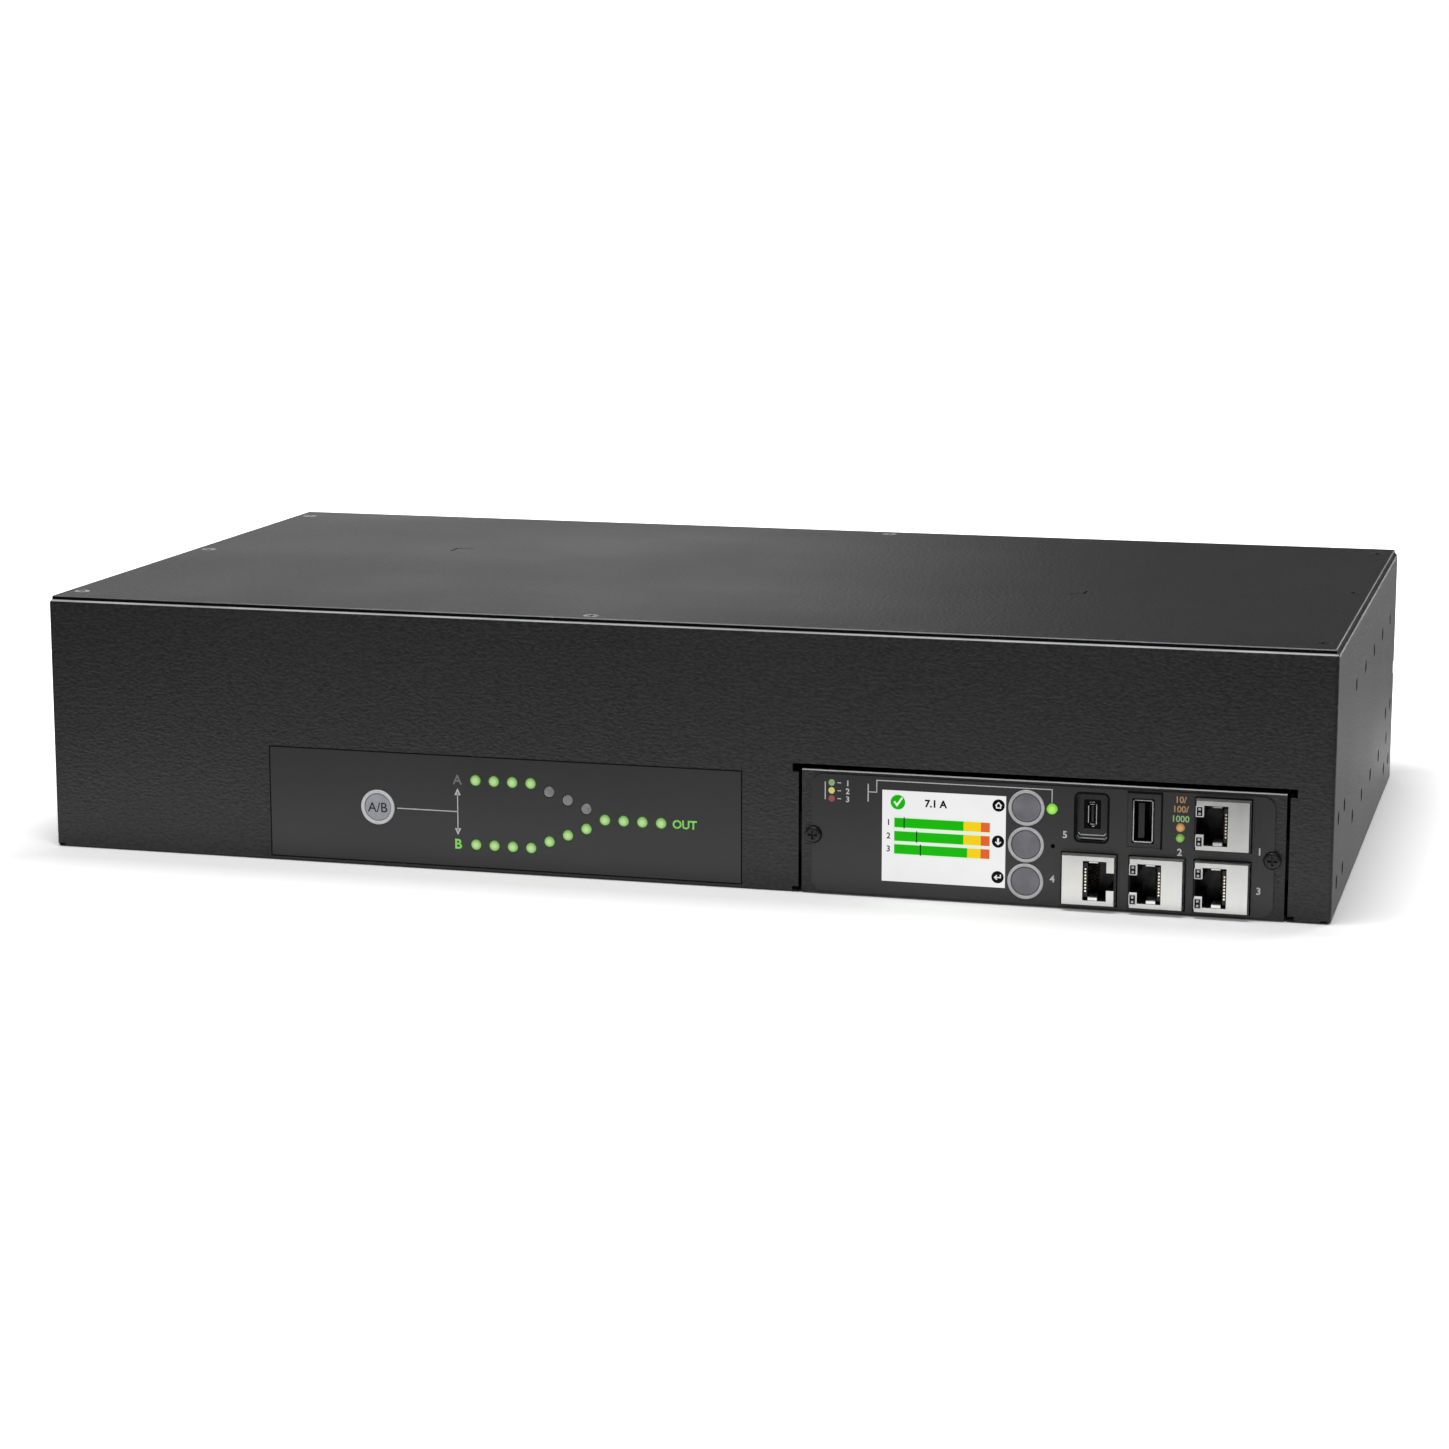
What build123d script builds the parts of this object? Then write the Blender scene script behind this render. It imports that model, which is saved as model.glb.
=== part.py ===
from build123d import *
from math import cos, radians, sin
import os

# Two-unit rack transfer switch for two mains feeds.
# X runs to the right and Y to the back as seen from the front, Z is up.
# The origin is the middle of the underside. All sizes are in millimetres.

# Folded tray
body_width = 432.0
body_depth = 234.0
tray_height = 85.5
sheet = 1.2
fold_radius = 1.4
return_flange = 12.0
corner_relief_width = 2.2
corner_relief_height = 0.7

# Flat cover
cover_thickness = 1.2
cover_inset = 1.0
cover_edge_break = 0.3
slit_width = 0.7
slit_leg = 7.0
slit_span_x = 243.4
slit_span_y = 52.0
slit_shift_y = 4.0

# Countersunk screws of the cover and of the back panel
screw_radius = 1.5
screw_head_radius = 2.7
screw_length = 6.0
cover_screw_inset = 6.5
cover_corner_screw_inset = 13.0
front_screw_x = -26.0
back_screw_x = 25.0
panel_screw_length = 4.8
drive_recess_width = 0.7
drive_recess_depth = 0.5

# Clearances
fit_gap = 0.2
screw_gap = 0.1
slide_gap = 0.25

# Holes in both sides for rack brackets
bracket_hole_radius = 2.3
bracket_row_pitch = 35.0
bracket_row_count = 5
bracket_row_height = 20.6
bracket_row_spacing = 44.0
bracket_row_back = 26.0
corner_hole_spacing = 20.6
corner_hole_height = 20.7
corner_hole_front = 25.2
corner_hole_back = 22.8

# Network and display module in the front wall
module_width = 154.8
module_height = 40.7
module_foot = 0.3
module_gap = 1.1
module_top_gap = 1.6
module_side_margin = 13.5
module_top_flange = 20.0
module_edge_radius = 0.8
relief_reach = 2.1
relief_height = 2.8
foot_relief_low = 0.7
foot_relief_high = 2.0
lug_width = 9.0
lug_height = 13.0
lug_overlap = 7.5

# Faceplate that covers the module's bracket
faceplate_thickness = 0.5
faceplate_side_inset = 3.4
faceplate_top_inset = 1.3
faceplate_foot_inset = 0.9
faceplate_corner = 4.0

# Module screws
module_screw_inset = 3.9
module_screw_height = 19.4
module_screw_radius = 1.5
module_screw_head_radius = 2.7
module_screw_head_height = 1.7
module_screw_length = 6.5
module_drive_length = 3.0

# Places on the module, from its lower left corner
lcd_x = 46.55
lcd_z = 20.3
lcd_window_width = 40.3
lcd_window_height = 30.0
lcd_border = 3.0
lcd_key_side_border = 0.2
lcd_thickness = 4.2
lcd_sink = 0.2
keys_x = 73.2
keys_z = 20.0
key_pitch = 11.9
status_led_x = 81.3
status_led_z = 31.9
reset_x = 81.8
reset_z = 20.0
micro_usb_x = 94.0
micro_usb_z = 29.85
micro_port_lift = 0.85
usb_a_x = 110.2
usb_a_z = 29.65
link_led_x = 121.9
link_led_z = 26.5
link_led_spacing = 3.4
right_jack_x = 135.4
middle_jack_x = 114.95
left_jack_x = 93.5
low_jack_z = 10.0
high_jack_z = 29.85

# Round keys with a raised ring round each
key_radius = 4.65
key_ring_width = 0.85
key_ring_height = 0.3
key_sink = 0.1
key_edge_break = 0.3
key_collar_overhang = 0.7
key_collar_thickness = 1.0
key_stem_radius = 1.6
key_travel = 0.5
preference_key_radius = 4.6
preference_ring_width = 1.0

# Small switches that the keys press
switch_size = 6.0
reset_switch_size = 4.2
switch_height = 3.6

# Reset plunger behind its pinhole
pinhole_radius = 0.7
plunger_radius = 1.2
plunger_length = 4.2
plunger_seat_depth = 2.0
plunger_travel = 0.3

# Socket bodies of the module
jack_width = 17.1
jack_height = 16.3
jack_stand_out = 3.0
jack_gap = 0.5
jack_cavity_width = 7.5
jack_cavity_height = 12.8
jack_cavity_depth = 13.0
jack_cavity_offset = 2.7
jack_latch_width = 2.4
jack_latch_height = 5.7
jack_window_width = 2.0
jack_window_height = 2.8
jack_window_depth = 0.5
jack_window_inset = 0.35
jack_edge_break = 0.3
usb_shell_width = 6.6
usb_shell_height = 13.9
usb_wall = 0.45
usb_socket_depth = 12.0
usb_tongue_width = 1.9
usb_tongue_height = 11.2
usb_tongue_shift = 0.65
usb_tongue_sink = 1.2
usb_recess_width = 11.2
usb_recess_height = 18.2
usb_recess_shift = 0.6
usb_recess_depth = 0.25
micro_body_width = 9.8
micro_body_height = 14.9
micro_body_corner = 2.3
micro_body_sink = 1.0
micro_pocket_width = 5.4
micro_pocket_height = 9.4
micro_pocket_depth = 1.6
micro_shell_width = 2.8
micro_shell_height = 8.0
micro_shell_wall = 0.4
micro_shell_wide_bevel = 1.4
micro_shell_slim_bevel = 0.9
micro_socket_depth = 5.0
micro_socket_height = 6.2
micro_tongue_width = 0.7
micro_tongue_height = 5.3

# Indicator overlay, let into the front wall beside the module
overlay_width = 163.7
overlay_height = 37.6
overlay_thickness = 0.5
overlay_foot = 1.5
overlay_to_module = 18.9
lamp_radius = 1.75
lamp_stand_out = 0.4
lamp_edge_break = 0.5
lamp_pitch = 6.37
first_lamp_x = 72.8
lamp_middle_z = 20.2
lamp_row_offset = 10.85
lamp_row_step = 2.5
straight_lamps = 4
sloping_lamps = 3
output_lamps = 4
preference_x = 38.4
status_lamp_radius = 1.65
link_lamp_radius = 1.3

# Circuit boards
board_thickness = 1.6
module_board_depth = 15.0
module_board_margin = 2.2
module_post_radius = 2.5
module_post_inset = 7.0
module_post_rise = 13.5
indicator_board_depth = 7.2
indicator_board_side_margin = 3.0
indicator_board_height = 33.0
indicator_post_radius = 2.0
indicator_post_inset = 8.0
indicator_post_rise = 12.0
main_board_lift = 8.0
main_board_wall_gap = 6.0
main_board_front_gap = 18.0
main_board_module_gap = 24.0
main_board_back_gap = 8.0
spacer_radius = 3.2
spacer_inset = 8.0
outlet_board_margin = 7.0

# Back panel
panel_inset = 0.6
panel_flange = 13.0
panel_tab_height = 4.4
panel_tab_slot = 3.0
panel_screw_inset = 8.0
panel_screw_pitch = 146.5
panel_row_spacing = 38.0

# Outlets of the smaller, ten ampere form
small_flange_width = 31.8
small_flange_height = 25.6
small_barrel_width = 30.4
small_barrel_height = 22.8
small_moat_width = 28.4
small_moat_height = 20.8
small_moat_cut = 5.6
small_island_width = 23.8
small_island_height = 16.2
small_island_cut = 4.6
small_contact_width = 2.4
small_contact_height = 4.6
small_contact_spacing = 14.0
small_earth_offset = 4.0
small_outlet_pitch = 33.4

# Outlets of the larger, sixteen ampere form
large_flange_width = 39.0
large_flange_height = 33.0
large_barrel_width = 37.4
large_barrel_height = 30.4
large_moat_width = 35.4
large_moat_height = 28.4
large_moat_cut = 2.4
large_island_width = 30.4
large_island_height = 23.4
large_island_cut = 1.4
large_contact_width = 8.6
large_contact_height = 2.6
large_contact_spacing = 13.0
large_earth_offset = 8.0

# What both outlets share
outlet_flange_thickness = 2.0
outlet_edge_break = 0.5
outlet_depth = 23.0
moat_depth = 16.5
island_sink = 0.5
contact_depth = 14.0
snap_width = 8.0
snap_height = 0.9
snap_length = 3.0

# Circuit breakers with a lever
breaker_bezel_width = 22.0
breaker_bezel_height = 48.0
breaker_bezel_thickness = 2.0
breaker_barrel_width = 19.0
breaker_barrel_height = 45.0
breaker_depth = 40.0
breaker_pivot_sink = 4.0
lever_drum_radius = 7.5
lever_width = 8.4
lever_reach = 16.5
lever_root = 5.4
lever_tip = 4.0
lever_tip_radius = 1.0
lever_angle = 22.0
lever_pin_radius = 1.4
lever_pin_length = 1.5
lever_pin_gap = 0.08

# Cord glands, spaced from the right side
gland_side_margin = 30.0
gland_bore_radius = 7.2
gland_thread_radius = 12.4
gland_hex_radius = 15.0
gland_hex_length = 7.0
gland_nut_length = 5.0
gland_dome_radius = 13.2
gland_dome_length = 17.0
gland_dome_straight = 9.0
gland_mouth_radius = 9.4
gland_thread_length = 10.0

# Earth stud
stud_radius = 2.5
stud_length = 12.0
stud_flange_radius = 5.0
stud_flange_thickness = 1.5
stud_foot_z = 15.0

# Side-to-side gaps on the back panel
gland_to_stud = 23.0
stud_to_breaker = 19.5
breaker_pitch = 24.5
breaker_to_large_outlet = 36.5
large_to_small_outlet = 38.5
panel_end_margin = 6.0

# Transfer relays, supplies and input terminals on the main board
relay_width = 29.0
relay_depth = 32.0
relay_height = 26.0
relay_pitch_x = 44.0
relay_pitch_y = 46.0
relay_columns = 4
relay_rows = 2
relay_left_margin = 42.0
relay_front_margin = 44.0
relay_edge_break = 1.0
core_width = 36.0
core_depth = 30.0
core_height = 30.0
coil_width = 22.0
coil_depth = 40.0
coil_height = 22.0
supply_pitch = 60.0
terminal_width = 32.0
terminal_depth = 20.0
terminal_height = 18.0
terminal_pitch = 40.0
terminal_well_radius = 3.2
terminal_well_depth = 9.0
terminal_ways = 3

# Reference planes and edges worked out from the sizes above
side_x = body_width / 2
front_y = -body_depth / 2
back_y = body_depth / 2
panel_face_y = back_y - panel_inset
middle_z = tray_height / 2
cover_top = tray_height + cover_thickness
ON_FLOOR = (Align.CENTER, Align.CENTER, Align.MIN)
FROM_TOP = (Align.CENTER, Align.CENTER, Align.MAX)


def front_plane(depth=0.0):
    """Plane that looks out of the front, at a depth behind the front wall's face."""
    return Plane.XZ.offset(-front_y - depth)


def back_plane(outward=0.0):
    """Plane that looks out of the back, at a distance outside the back panel's face."""
    return Plane(origin=(0, panel_face_y + outward, 0), x_dir=(-1, 0, 0), z_dir=(0, 1, 0))


def side_plane(side):
    """Plane of the outer face of one side, where side is +1 on the right and -1 on the left."""
    return Plane(origin=(side * side_x, 0, 0), x_dir=(0, side, 0), z_dir=(side, 0, 0))


def save(builder, name):
    """Label a finished piece and write it to its own file."""
    builder.part.label = name
    export_step(builder.part, f"parts/{name}.step")


# Places that several pieces share
module_right = side_x - module_side_margin - module_gap
module_left = module_right - module_width
module_middle_x = (module_left + module_right) / 2
module_top = module_foot + module_height
module_middle_z = module_foot + module_height / 2
opening_left = module_left - module_gap
opening_top = module_top + module_top_gap
overlay_right = opening_left - overlay_to_module
overlay_left = overlay_right - overlay_width
overlay_middle_x = (overlay_left + overlay_right) / 2
overlay_middle_z = overlay_foot + overlay_height / 2


def on_module(x, z):
    """Point on the front from a place on the module."""
    return (module_left + x, module_foot + z)


module_screw_points = [
    on_module(module_screw_inset, module_screw_height),
    on_module(module_width - module_screw_inset, module_screw_height),
]
lcd_point = on_module(lcd_x, lcd_z)
key_points = {
    "home_key": on_module(keys_x, keys_z + key_pitch),
    "down_key": on_module(keys_x, keys_z),
    "enter_key": on_module(keys_x, keys_z - key_pitch),
}
status_point = on_module(status_led_x, status_led_z)
reset_point = on_module(reset_x, reset_z)
micro_point = on_module(micro_usb_x, micro_usb_z)
usb_point = on_module(usb_a_x, usb_a_z)
usb_recess_point = on_module(usb_a_x + usb_recess_shift, usb_a_z + usb_recess_shift)
link_led_points = [
    on_module(link_led_x, link_led_z + link_led_spacing / 2),
    on_module(link_led_x, link_led_z - link_led_spacing / 2),
]
jack_points = {
    "network_jack": on_module(right_jack_x, high_jack_z),
    "link_b_jack": on_module(right_jack_x, low_jack_z),
    "link_a_jack": on_module(middle_jack_x, low_jack_z),
    "universal_io_jack": on_module(left_jack_x, low_jack_z),
}
preference_point = (overlay_left + preference_x, lamp_middle_z)


def lamp_row(direction):
    """Centres of one feed's lamps: a level run, then a slope towards the output row."""
    points = []
    for index in range(straight_lamps + sloping_lamps):
        across = overlay_left + first_lamp_x + index * lamp_pitch
        steps_in = max(0, index - straight_lamps + 1)
        height = lamp_row_offset - lamp_row_step * steps_in
        points.append((across, lamp_middle_z + direction * height))
    return points


def output_row():
    """Centres of the output lamps, in line after the two slopes meet."""
    start = overlay_left + first_lamp_x + (straight_lamps + sloping_lamps) * lamp_pitch
    return [(start + index * lamp_pitch, lamp_middle_z) for index in range(output_lamps)]


supply_a_points = lamp_row(+1)
supply_b_points = lamp_row(-1)
output_points = output_row()
indicator_post_reach = overlay_width / 2 - indicator_post_inset
indicator_post_points = [
    (overlay_middle_x + side * indicator_post_reach, overlay_middle_z + level * indicator_post_rise)
    for side in (-1, 1)
    for level in (-1, 1)
]
module_post_reach = module_width / 2 - module_post_inset
module_post_points = [
    (module_middle_x + side * module_post_reach, module_middle_z + level * module_post_rise)
    for side in (-1, 1)
    for level in (-1, 1)
]

# Cover screws: one near each corner, one on each side's middle, one at the front and one at the back
cover_side_x = side_x - cover_screw_inset
cover_corner_y = back_y - cover_corner_screw_inset
cover_screw_points = [
    (-cover_side_x, -cover_corner_y),
    (cover_side_x, -cover_corner_y),
    (-cover_side_x, cover_corner_y),
    (cover_side_x, cover_corner_y),
    (-cover_side_x, slit_shift_y),
    (cover_side_x, slit_shift_y),
    (front_screw_x, front_y + cover_screw_inset),
    (back_screw_x, back_y - cover_screw_inset),
]
panel_screw_y = back_y - panel_inset - sheet - cover_screw_inset
panel_screw_points = [
    (side * (side_x - panel_screw_inset - number * panel_screw_pitch), panel_screw_y)
    for side in (-1, 1)
    for number in (0, 1)
]

# Holes for rack brackets on one side, as Y and Z
bracket_row_last = back_y - bracket_row_back
bracket_row_middle = bracket_row_last - bracket_row_pitch * (bracket_row_count - 1) / 2
bracket_rows_z = bracket_row_height + bracket_row_spacing / 2
corner_front_y = front_y + corner_hole_front
corner_back_y = back_y - corner_hole_back

# Columns along the back panel, from the right side of the tray towards the left
gland_x = side_x - gland_side_margin
stud_x = gland_x - gland_to_stud
breaker_b_x = stud_x - stud_to_breaker
breaker_a_x = breaker_b_x - breaker_pitch
large_outlet_x = breaker_a_x - breaker_to_large_outlet
first_small_x = large_outlet_x - large_to_small_outlet
row_heights = {"upper": middle_z + panel_row_spacing / 2, "lower": middle_z - panel_row_spacing / 2}
small_zone = first_small_x + small_flange_width / 2 + side_x - sheet - panel_end_margin
small_columns = int(small_zone // small_outlet_pitch)
small_outlet_points = [
    (first_small_x - column * small_outlet_pitch, height)
    for height in row_heights.values()
    for column in range(small_columns)
]
large_outlet_points = [(large_outlet_x, height) for height in row_heights.values()]
breaker_points = {"a": (breaker_a_x, middle_z), "b": (breaker_b_x, middle_z)}
gland_points = {"a": (gland_x, row_heights["upper"]), "b": (gland_x, row_heights["lower"])}
stud_point = (stud_x, stud_foot_z)


def seen_from_back(points):
    """The same places in the back plane, whose first axis runs to the left."""
    return [(-x, z) for x, z in points]


os.makedirs("parts", exist_ok=True)


# Tray: floor, front wall, two sides and the narrow flange that carries the cover
with BuildPart() as chassis:
    Box(body_width, body_depth, tray_height, align=ON_FLOOR)
    outer_folds = chassis.edges().filter_by(Axis.Y) + chassis.faces().sort_by(Axis.Y)[0].edges()
    fillet(outer_folds, fold_radius)
    offset(amount=-sheet, openings=chassis.faces().sort_by(Axis.Y)[-1])

    # Opening that the cover closes
    with BuildSketch(Plane.XY.offset(tray_height)):
        with Locations((0, return_flange / 2)):
            Rectangle(body_width - 2 * return_flange, body_depth - return_flange)
    extrude(amount=-2 * sheet, mode=Mode.SUBTRACT)

    # Shallow pocket for the indicator overlay
    with BuildSketch(front_plane()):
        with Locations((overlay_middle_x, overlay_middle_z)):
            Rectangle(overlay_width + fit_gap, overlay_height + fit_gap)
    extrude(amount=-overlay_thickness, mode=Mode.SUBTRACT)

    # Module opening with its corner reliefs
    with BuildSketch(front_plane(-fit_gap)):
        with Locations((module_middle_x, opening_top / 2)):
            Rectangle(module_width + 2 * module_gap, opening_top)
        with Locations((module_middle_x, opening_top - relief_height / 2)):
            Rectangle(module_width + 2 * (module_gap + relief_reach), relief_height)
        with Locations((module_middle_x, (foot_relief_low + foot_relief_high) / 2)):
            Rectangle(module_width + 2 * (module_gap + relief_reach), foot_relief_high - foot_relief_low)
    extrude(amount=-(sheet + 2 * fit_gap), mode=Mode.SUBTRACT)

    # Welded lugs behind the wall, which take the module's screws
    with BuildSketch(front_plane(sheet)):
        for x, z in module_screw_points:
            outward = 1 if x > module_middle_x else -1
            inner = x - outward * (lug_width / 2)
            outer = module_middle_x + outward * (module_width / 2 + module_gap + lug_overlap)
            with Locations(((inner + outer) / 2, z)):
                Rectangle(abs(outer - inner), lug_height)
    extrude(amount=-sheet)
    with BuildSketch(front_plane(sheet)):
        with Locations(*module_screw_points):
            Circle(module_screw_radius + screw_gap)
    extrude(amount=-sheet, mode=Mode.SUBTRACT)

    # Holes for the preference key and the lamps
    with BuildSketch(front_plane()):
        with Locations(preference_point):
            Circle(preference_key_radius + slide_gap)
        with Locations(*supply_a_points, *supply_b_points, *output_points):
            Circle(lamp_radius + fit_gap)
    extrude(amount=-2 * sheet, mode=Mode.SUBTRACT)

    # Pressed posts that carry the indicator board
    with BuildSketch(front_plane(sheet)):
        with Locations(*indicator_post_points):
            Circle(indicator_post_radius)
    extrude(amount=-(indicator_board_depth - sheet))

    # Relief slots where the front wall, floor and sides are folded apart
    for side in (-1, 1):
        relief_x = side * (side_x - sheet - corner_relief_width / 2)
        with Locations((relief_x, front_y, corner_relief_height + fit_gap)):
            Box(corner_relief_width, 2 * sheet, corner_relief_height, mode=Mode.SUBTRACT)

    # Rack bracket holes and the notch for the back panel's tab
    for side in (-1, 1):
        with BuildSketch(side_plane(side)):
            with Locations((side * bracket_row_middle, bracket_rows_z)):
                with GridLocations(bracket_row_pitch, bracket_row_spacing, bracket_row_count, 2):
                    Circle(bracket_hole_radius)
            for corner_y in (corner_front_y, corner_back_y):
                with Locations((side * corner_y, corner_hole_height)):
                    with GridLocations(corner_hole_spacing, corner_hole_spacing, 2, 2):
                        Circle(bracket_hole_radius)
            with Locations((side * (back_y - panel_tab_slot / 2), middle_z)):
                Rectangle(panel_tab_slot, panel_tab_height + 2 * fit_gap)
        extrude(amount=-2 * sheet, mode=Mode.SUBTRACT)

    # Cover screw holes in the flange, without the one that enters the back panel
    with BuildSketch(Plane.XY.offset(tray_height)):
        with Locations(*cover_screw_points[:-1]):
            Circle(screw_radius + screw_gap)
    extrude(amount=-2 * sheet, mode=Mode.SUBTRACT)

    # Countersunk holes in the floor for the back panel's screws
    with BuildSketch(Plane.XY):
        with Locations(*panel_screw_points):
            Circle(screw_radius + screw_gap)
    extrude(amount=2 * sheet, mode=Mode.SUBTRACT)
    with Locations(*[(x, y, 0) for x, y in panel_screw_points]):
        Cone(
            screw_head_radius + screw_gap,
            screw_radius + screw_gap,
            sheet,
            align=ON_FLOOR,
            mode=Mode.SUBTRACT,
        )
save(chassis, "chassis")


# Cover: flat plate with two angled slits and countersunk holes
with BuildPart() as top_cover:
    with BuildSketch(Plane.XY.offset(tray_height)):
        with Locations((0, cover_inset / 2)):
            Rectangle(body_width - 2 * cover_inset, body_depth - cover_inset)
    extrude(amount=cover_thickness)
    chamfer(top_cover.faces().sort_by(Axis.Z)[-1].edges(), cover_edge_break)
    with BuildSketch(Plane.XY.offset(cover_top)):
        for side in (-1, 1):
            corner_x = side * slit_span_x / 2
            corner_y = slit_shift_y - side * slit_span_y / 2
            with Locations((corner_x - side * slit_leg / 2, corner_y)):
                Rectangle(slit_leg, slit_width)
            with Locations((corner_x - side * slit_width / 2, corner_y + side * slit_leg / 2)):
                Rectangle(slit_width, slit_leg)
    extrude(amount=-2 * cover_thickness, mode=Mode.SUBTRACT)
    with BuildSketch(Plane.XY.offset(cover_top)):
        with Locations(*cover_screw_points):
            Circle(screw_radius + screw_gap)
    extrude(amount=-2 * cover_thickness, mode=Mode.SUBTRACT)
    with Locations(*[(x, y, cover_top) for x, y in cover_screw_points]):
        Cone(
            screw_radius + screw_gap,
            screw_head_radius + screw_gap,
            cover_thickness,
            align=FROM_TOP,
            mode=Mode.SUBTRACT,
        )
save(top_cover, "top_cover")


# Countersunk screws that hold the cover
with BuildPart() as cover_screws:
    with Locations(*[(x, y, cover_top) for x, y in cover_screw_points]):
        Cone(screw_radius, screw_head_radius, cover_thickness, align=FROM_TOP)
        Cylinder(screw_radius, screw_length, align=FROM_TOP)
        Box(screw_head_radius, drive_recess_width, drive_recess_depth, align=FROM_TOP, mode=Mode.SUBTRACT)
        Box(drive_recess_width, screw_head_radius, drive_recess_depth, align=FROM_TOP, mode=Mode.SUBTRACT)
save(cover_screws, "cover_screws")


# Countersunk screws that come up through the floor into the back panel's foot
with BuildPart() as panel_screws:
    with Locations(*[(x, y, 0) for x, y in panel_screw_points]):
        Cone(screw_head_radius, screw_radius, sheet, align=ON_FLOOR)
        Cylinder(screw_radius, panel_screw_length, align=ON_FLOOR)
        Box(screw_head_radius, drive_recess_width, drive_recess_depth, align=ON_FLOOR, mode=Mode.SUBTRACT)
        Box(drive_recess_width, screw_head_radius, drive_recess_depth, align=ON_FLOOR, mode=Mode.SUBTRACT)
save(panel_screws, "panel_screws")


# Back panel: pierced plate with a flange at its head and foot and a tab at each end
with BuildPart() as rear_panel:
    inner_width = body_width - 2 * sheet - 2 * fit_gap
    head_width = body_width - 2 * return_flange - 2 * fit_gap
    shoulder_z = tray_height - sheet - fit_gap
    with BuildSketch(back_plane()):
        with Locations((0, (sheet + shoulder_z) / 2)):
            Rectangle(inner_width, shoulder_z - sheet)
        with Locations((0, (sheet + tray_height) / 2)):
            Rectangle(head_width, tray_height - sheet)
        with Locations((0, middle_z)):
            Rectangle(body_width - 2 * fit_gap, panel_tab_height)
    extrude(amount=-sheet)
    with Locations((0, panel_face_y - panel_flange / 2, tray_height)):
        Box(head_width, panel_flange, sheet, align=FROM_TOP)
    with Locations((0, panel_face_y - panel_flange / 2, sheet)):
        Box(inner_width, panel_flange, sheet, align=ON_FLOOR)
    with BuildSketch(back_plane()):
        with Locations(*seen_from_back(small_outlet_points)):
            Rectangle(small_barrel_width + 2 * fit_gap, small_barrel_height + 2 * fit_gap)
        with Locations(*seen_from_back(large_outlet_points)):
            Rectangle(large_barrel_width + 2 * fit_gap, large_barrel_height + 2 * fit_gap)
        with Locations(*seen_from_back(breaker_points.values())):
            Rectangle(breaker_barrel_width + 2 * fit_gap, breaker_barrel_height + 2 * fit_gap)
        with Locations(*seen_from_back(gland_points.values())):
            Circle(gland_thread_radius + fit_gap)
        with Locations(*seen_from_back([stud_point])):
            Circle(stud_radius + screw_gap)
    extrude(amount=-sheet, mode=Mode.SUBTRACT)
    with BuildSketch(Plane.XY.offset(tray_height)):
        with Locations(cover_screw_points[-1]):
            Circle(screw_radius + screw_gap)
    extrude(amount=-2 * sheet, mode=Mode.SUBTRACT)
    with BuildSketch(Plane.XY):
        with Locations(*panel_screw_points):
            Circle(screw_radius + screw_gap)
    extrude(amount=3 * sheet, mode=Mode.SUBTRACT)
save(rear_panel, "rear_panel")


# Indicator overlay with a ring round the preference key
with BuildPart() as indicator_overlay:
    with BuildSketch(front_plane(overlay_thickness)):
        with Locations((overlay_middle_x, overlay_middle_z)):
            Rectangle(overlay_width, overlay_height)
    extrude(amount=overlay_thickness)
    with BuildSketch(front_plane()):
        with Locations(preference_point):
            Circle(preference_key_radius + slide_gap + preference_ring_width)
    extrude(amount=key_ring_height)
    chamfer(indicator_overlay.faces().sort_by(Axis.Y)[0].edges(), key_ring_height / 2)
    with BuildSketch(front_plane(-key_ring_height)):
        with Locations(preference_point):
            Circle(preference_key_radius + slide_gap)
        with Locations(*supply_a_points, *supply_b_points, *output_points):
            Circle(lamp_radius + fit_gap)
    extrude(amount=-(overlay_thickness + key_ring_height), mode=Mode.SUBTRACT)
save(indicator_overlay, "indicator_overlay")


def make_lamps(name, points, radius, base_depth, stand_out):
    """Light guides from a circuit board to just outside the front, one for each point."""
    with BuildPart() as lamps:
        with BuildSketch(front_plane(base_depth)):
            with Locations(*points):
                Circle(radius)
        extrude(amount=base_depth + stand_out)
        crowns = lamps.edges().filter_by(GeomType.CIRCLE).group_by(Axis.Y)[0]
        chamfer(crowns, lamp_edge_break)
    save(lamps, name)


make_lamps("supply_a_lamps", supply_a_points, lamp_radius, indicator_board_depth, lamp_stand_out)
make_lamps("supply_b_lamps", supply_b_points, lamp_radius, indicator_board_depth, lamp_stand_out)
make_lamps("output_lamps", output_points, lamp_radius, indicator_board_depth, lamp_stand_out)
module_lamp_out = faceplate_thickness + lamp_stand_out / 2
make_lamps("status_lamp", [status_point], status_lamp_radius, module_board_depth, module_lamp_out)
make_lamps("link_lamps", link_led_points, link_lamp_radius, module_board_depth, module_lamp_out)


def make_key(name, point, radius, face_out, board_depth):
    """Round key: cap through the wall, collar behind it and a stem towards its switch."""
    stem_end = board_depth - switch_height - key_travel - screw_gap
    with BuildPart() as key:
        with BuildSketch(front_plane(sheet)):
            with Locations(point):
                Circle(radius)
        extrude(amount=sheet + face_out)
        chamfer(key.faces().sort_by(Axis.Y)[0].edges(), key_edge_break)
        with BuildSketch(front_plane(sheet)):
            with Locations(point):
                Circle(radius + key_collar_overhang)
        extrude(amount=-key_collar_thickness)
        with BuildSketch(front_plane(sheet)):
            with Locations(point):
                Circle(key_stem_radius)
        extrude(amount=-(stem_end - sheet))
    save(key, name)


make_key(
    "preference_key",
    preference_point,
    preference_key_radius,
    key_ring_height - key_sink,
    indicator_board_depth,
)
for key_name, key_point in key_points.items():
    key_face_out = faceplate_thickness + key_ring_height - key_sink
    make_key(key_name, key_point, key_radius, key_face_out, module_board_depth)


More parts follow.
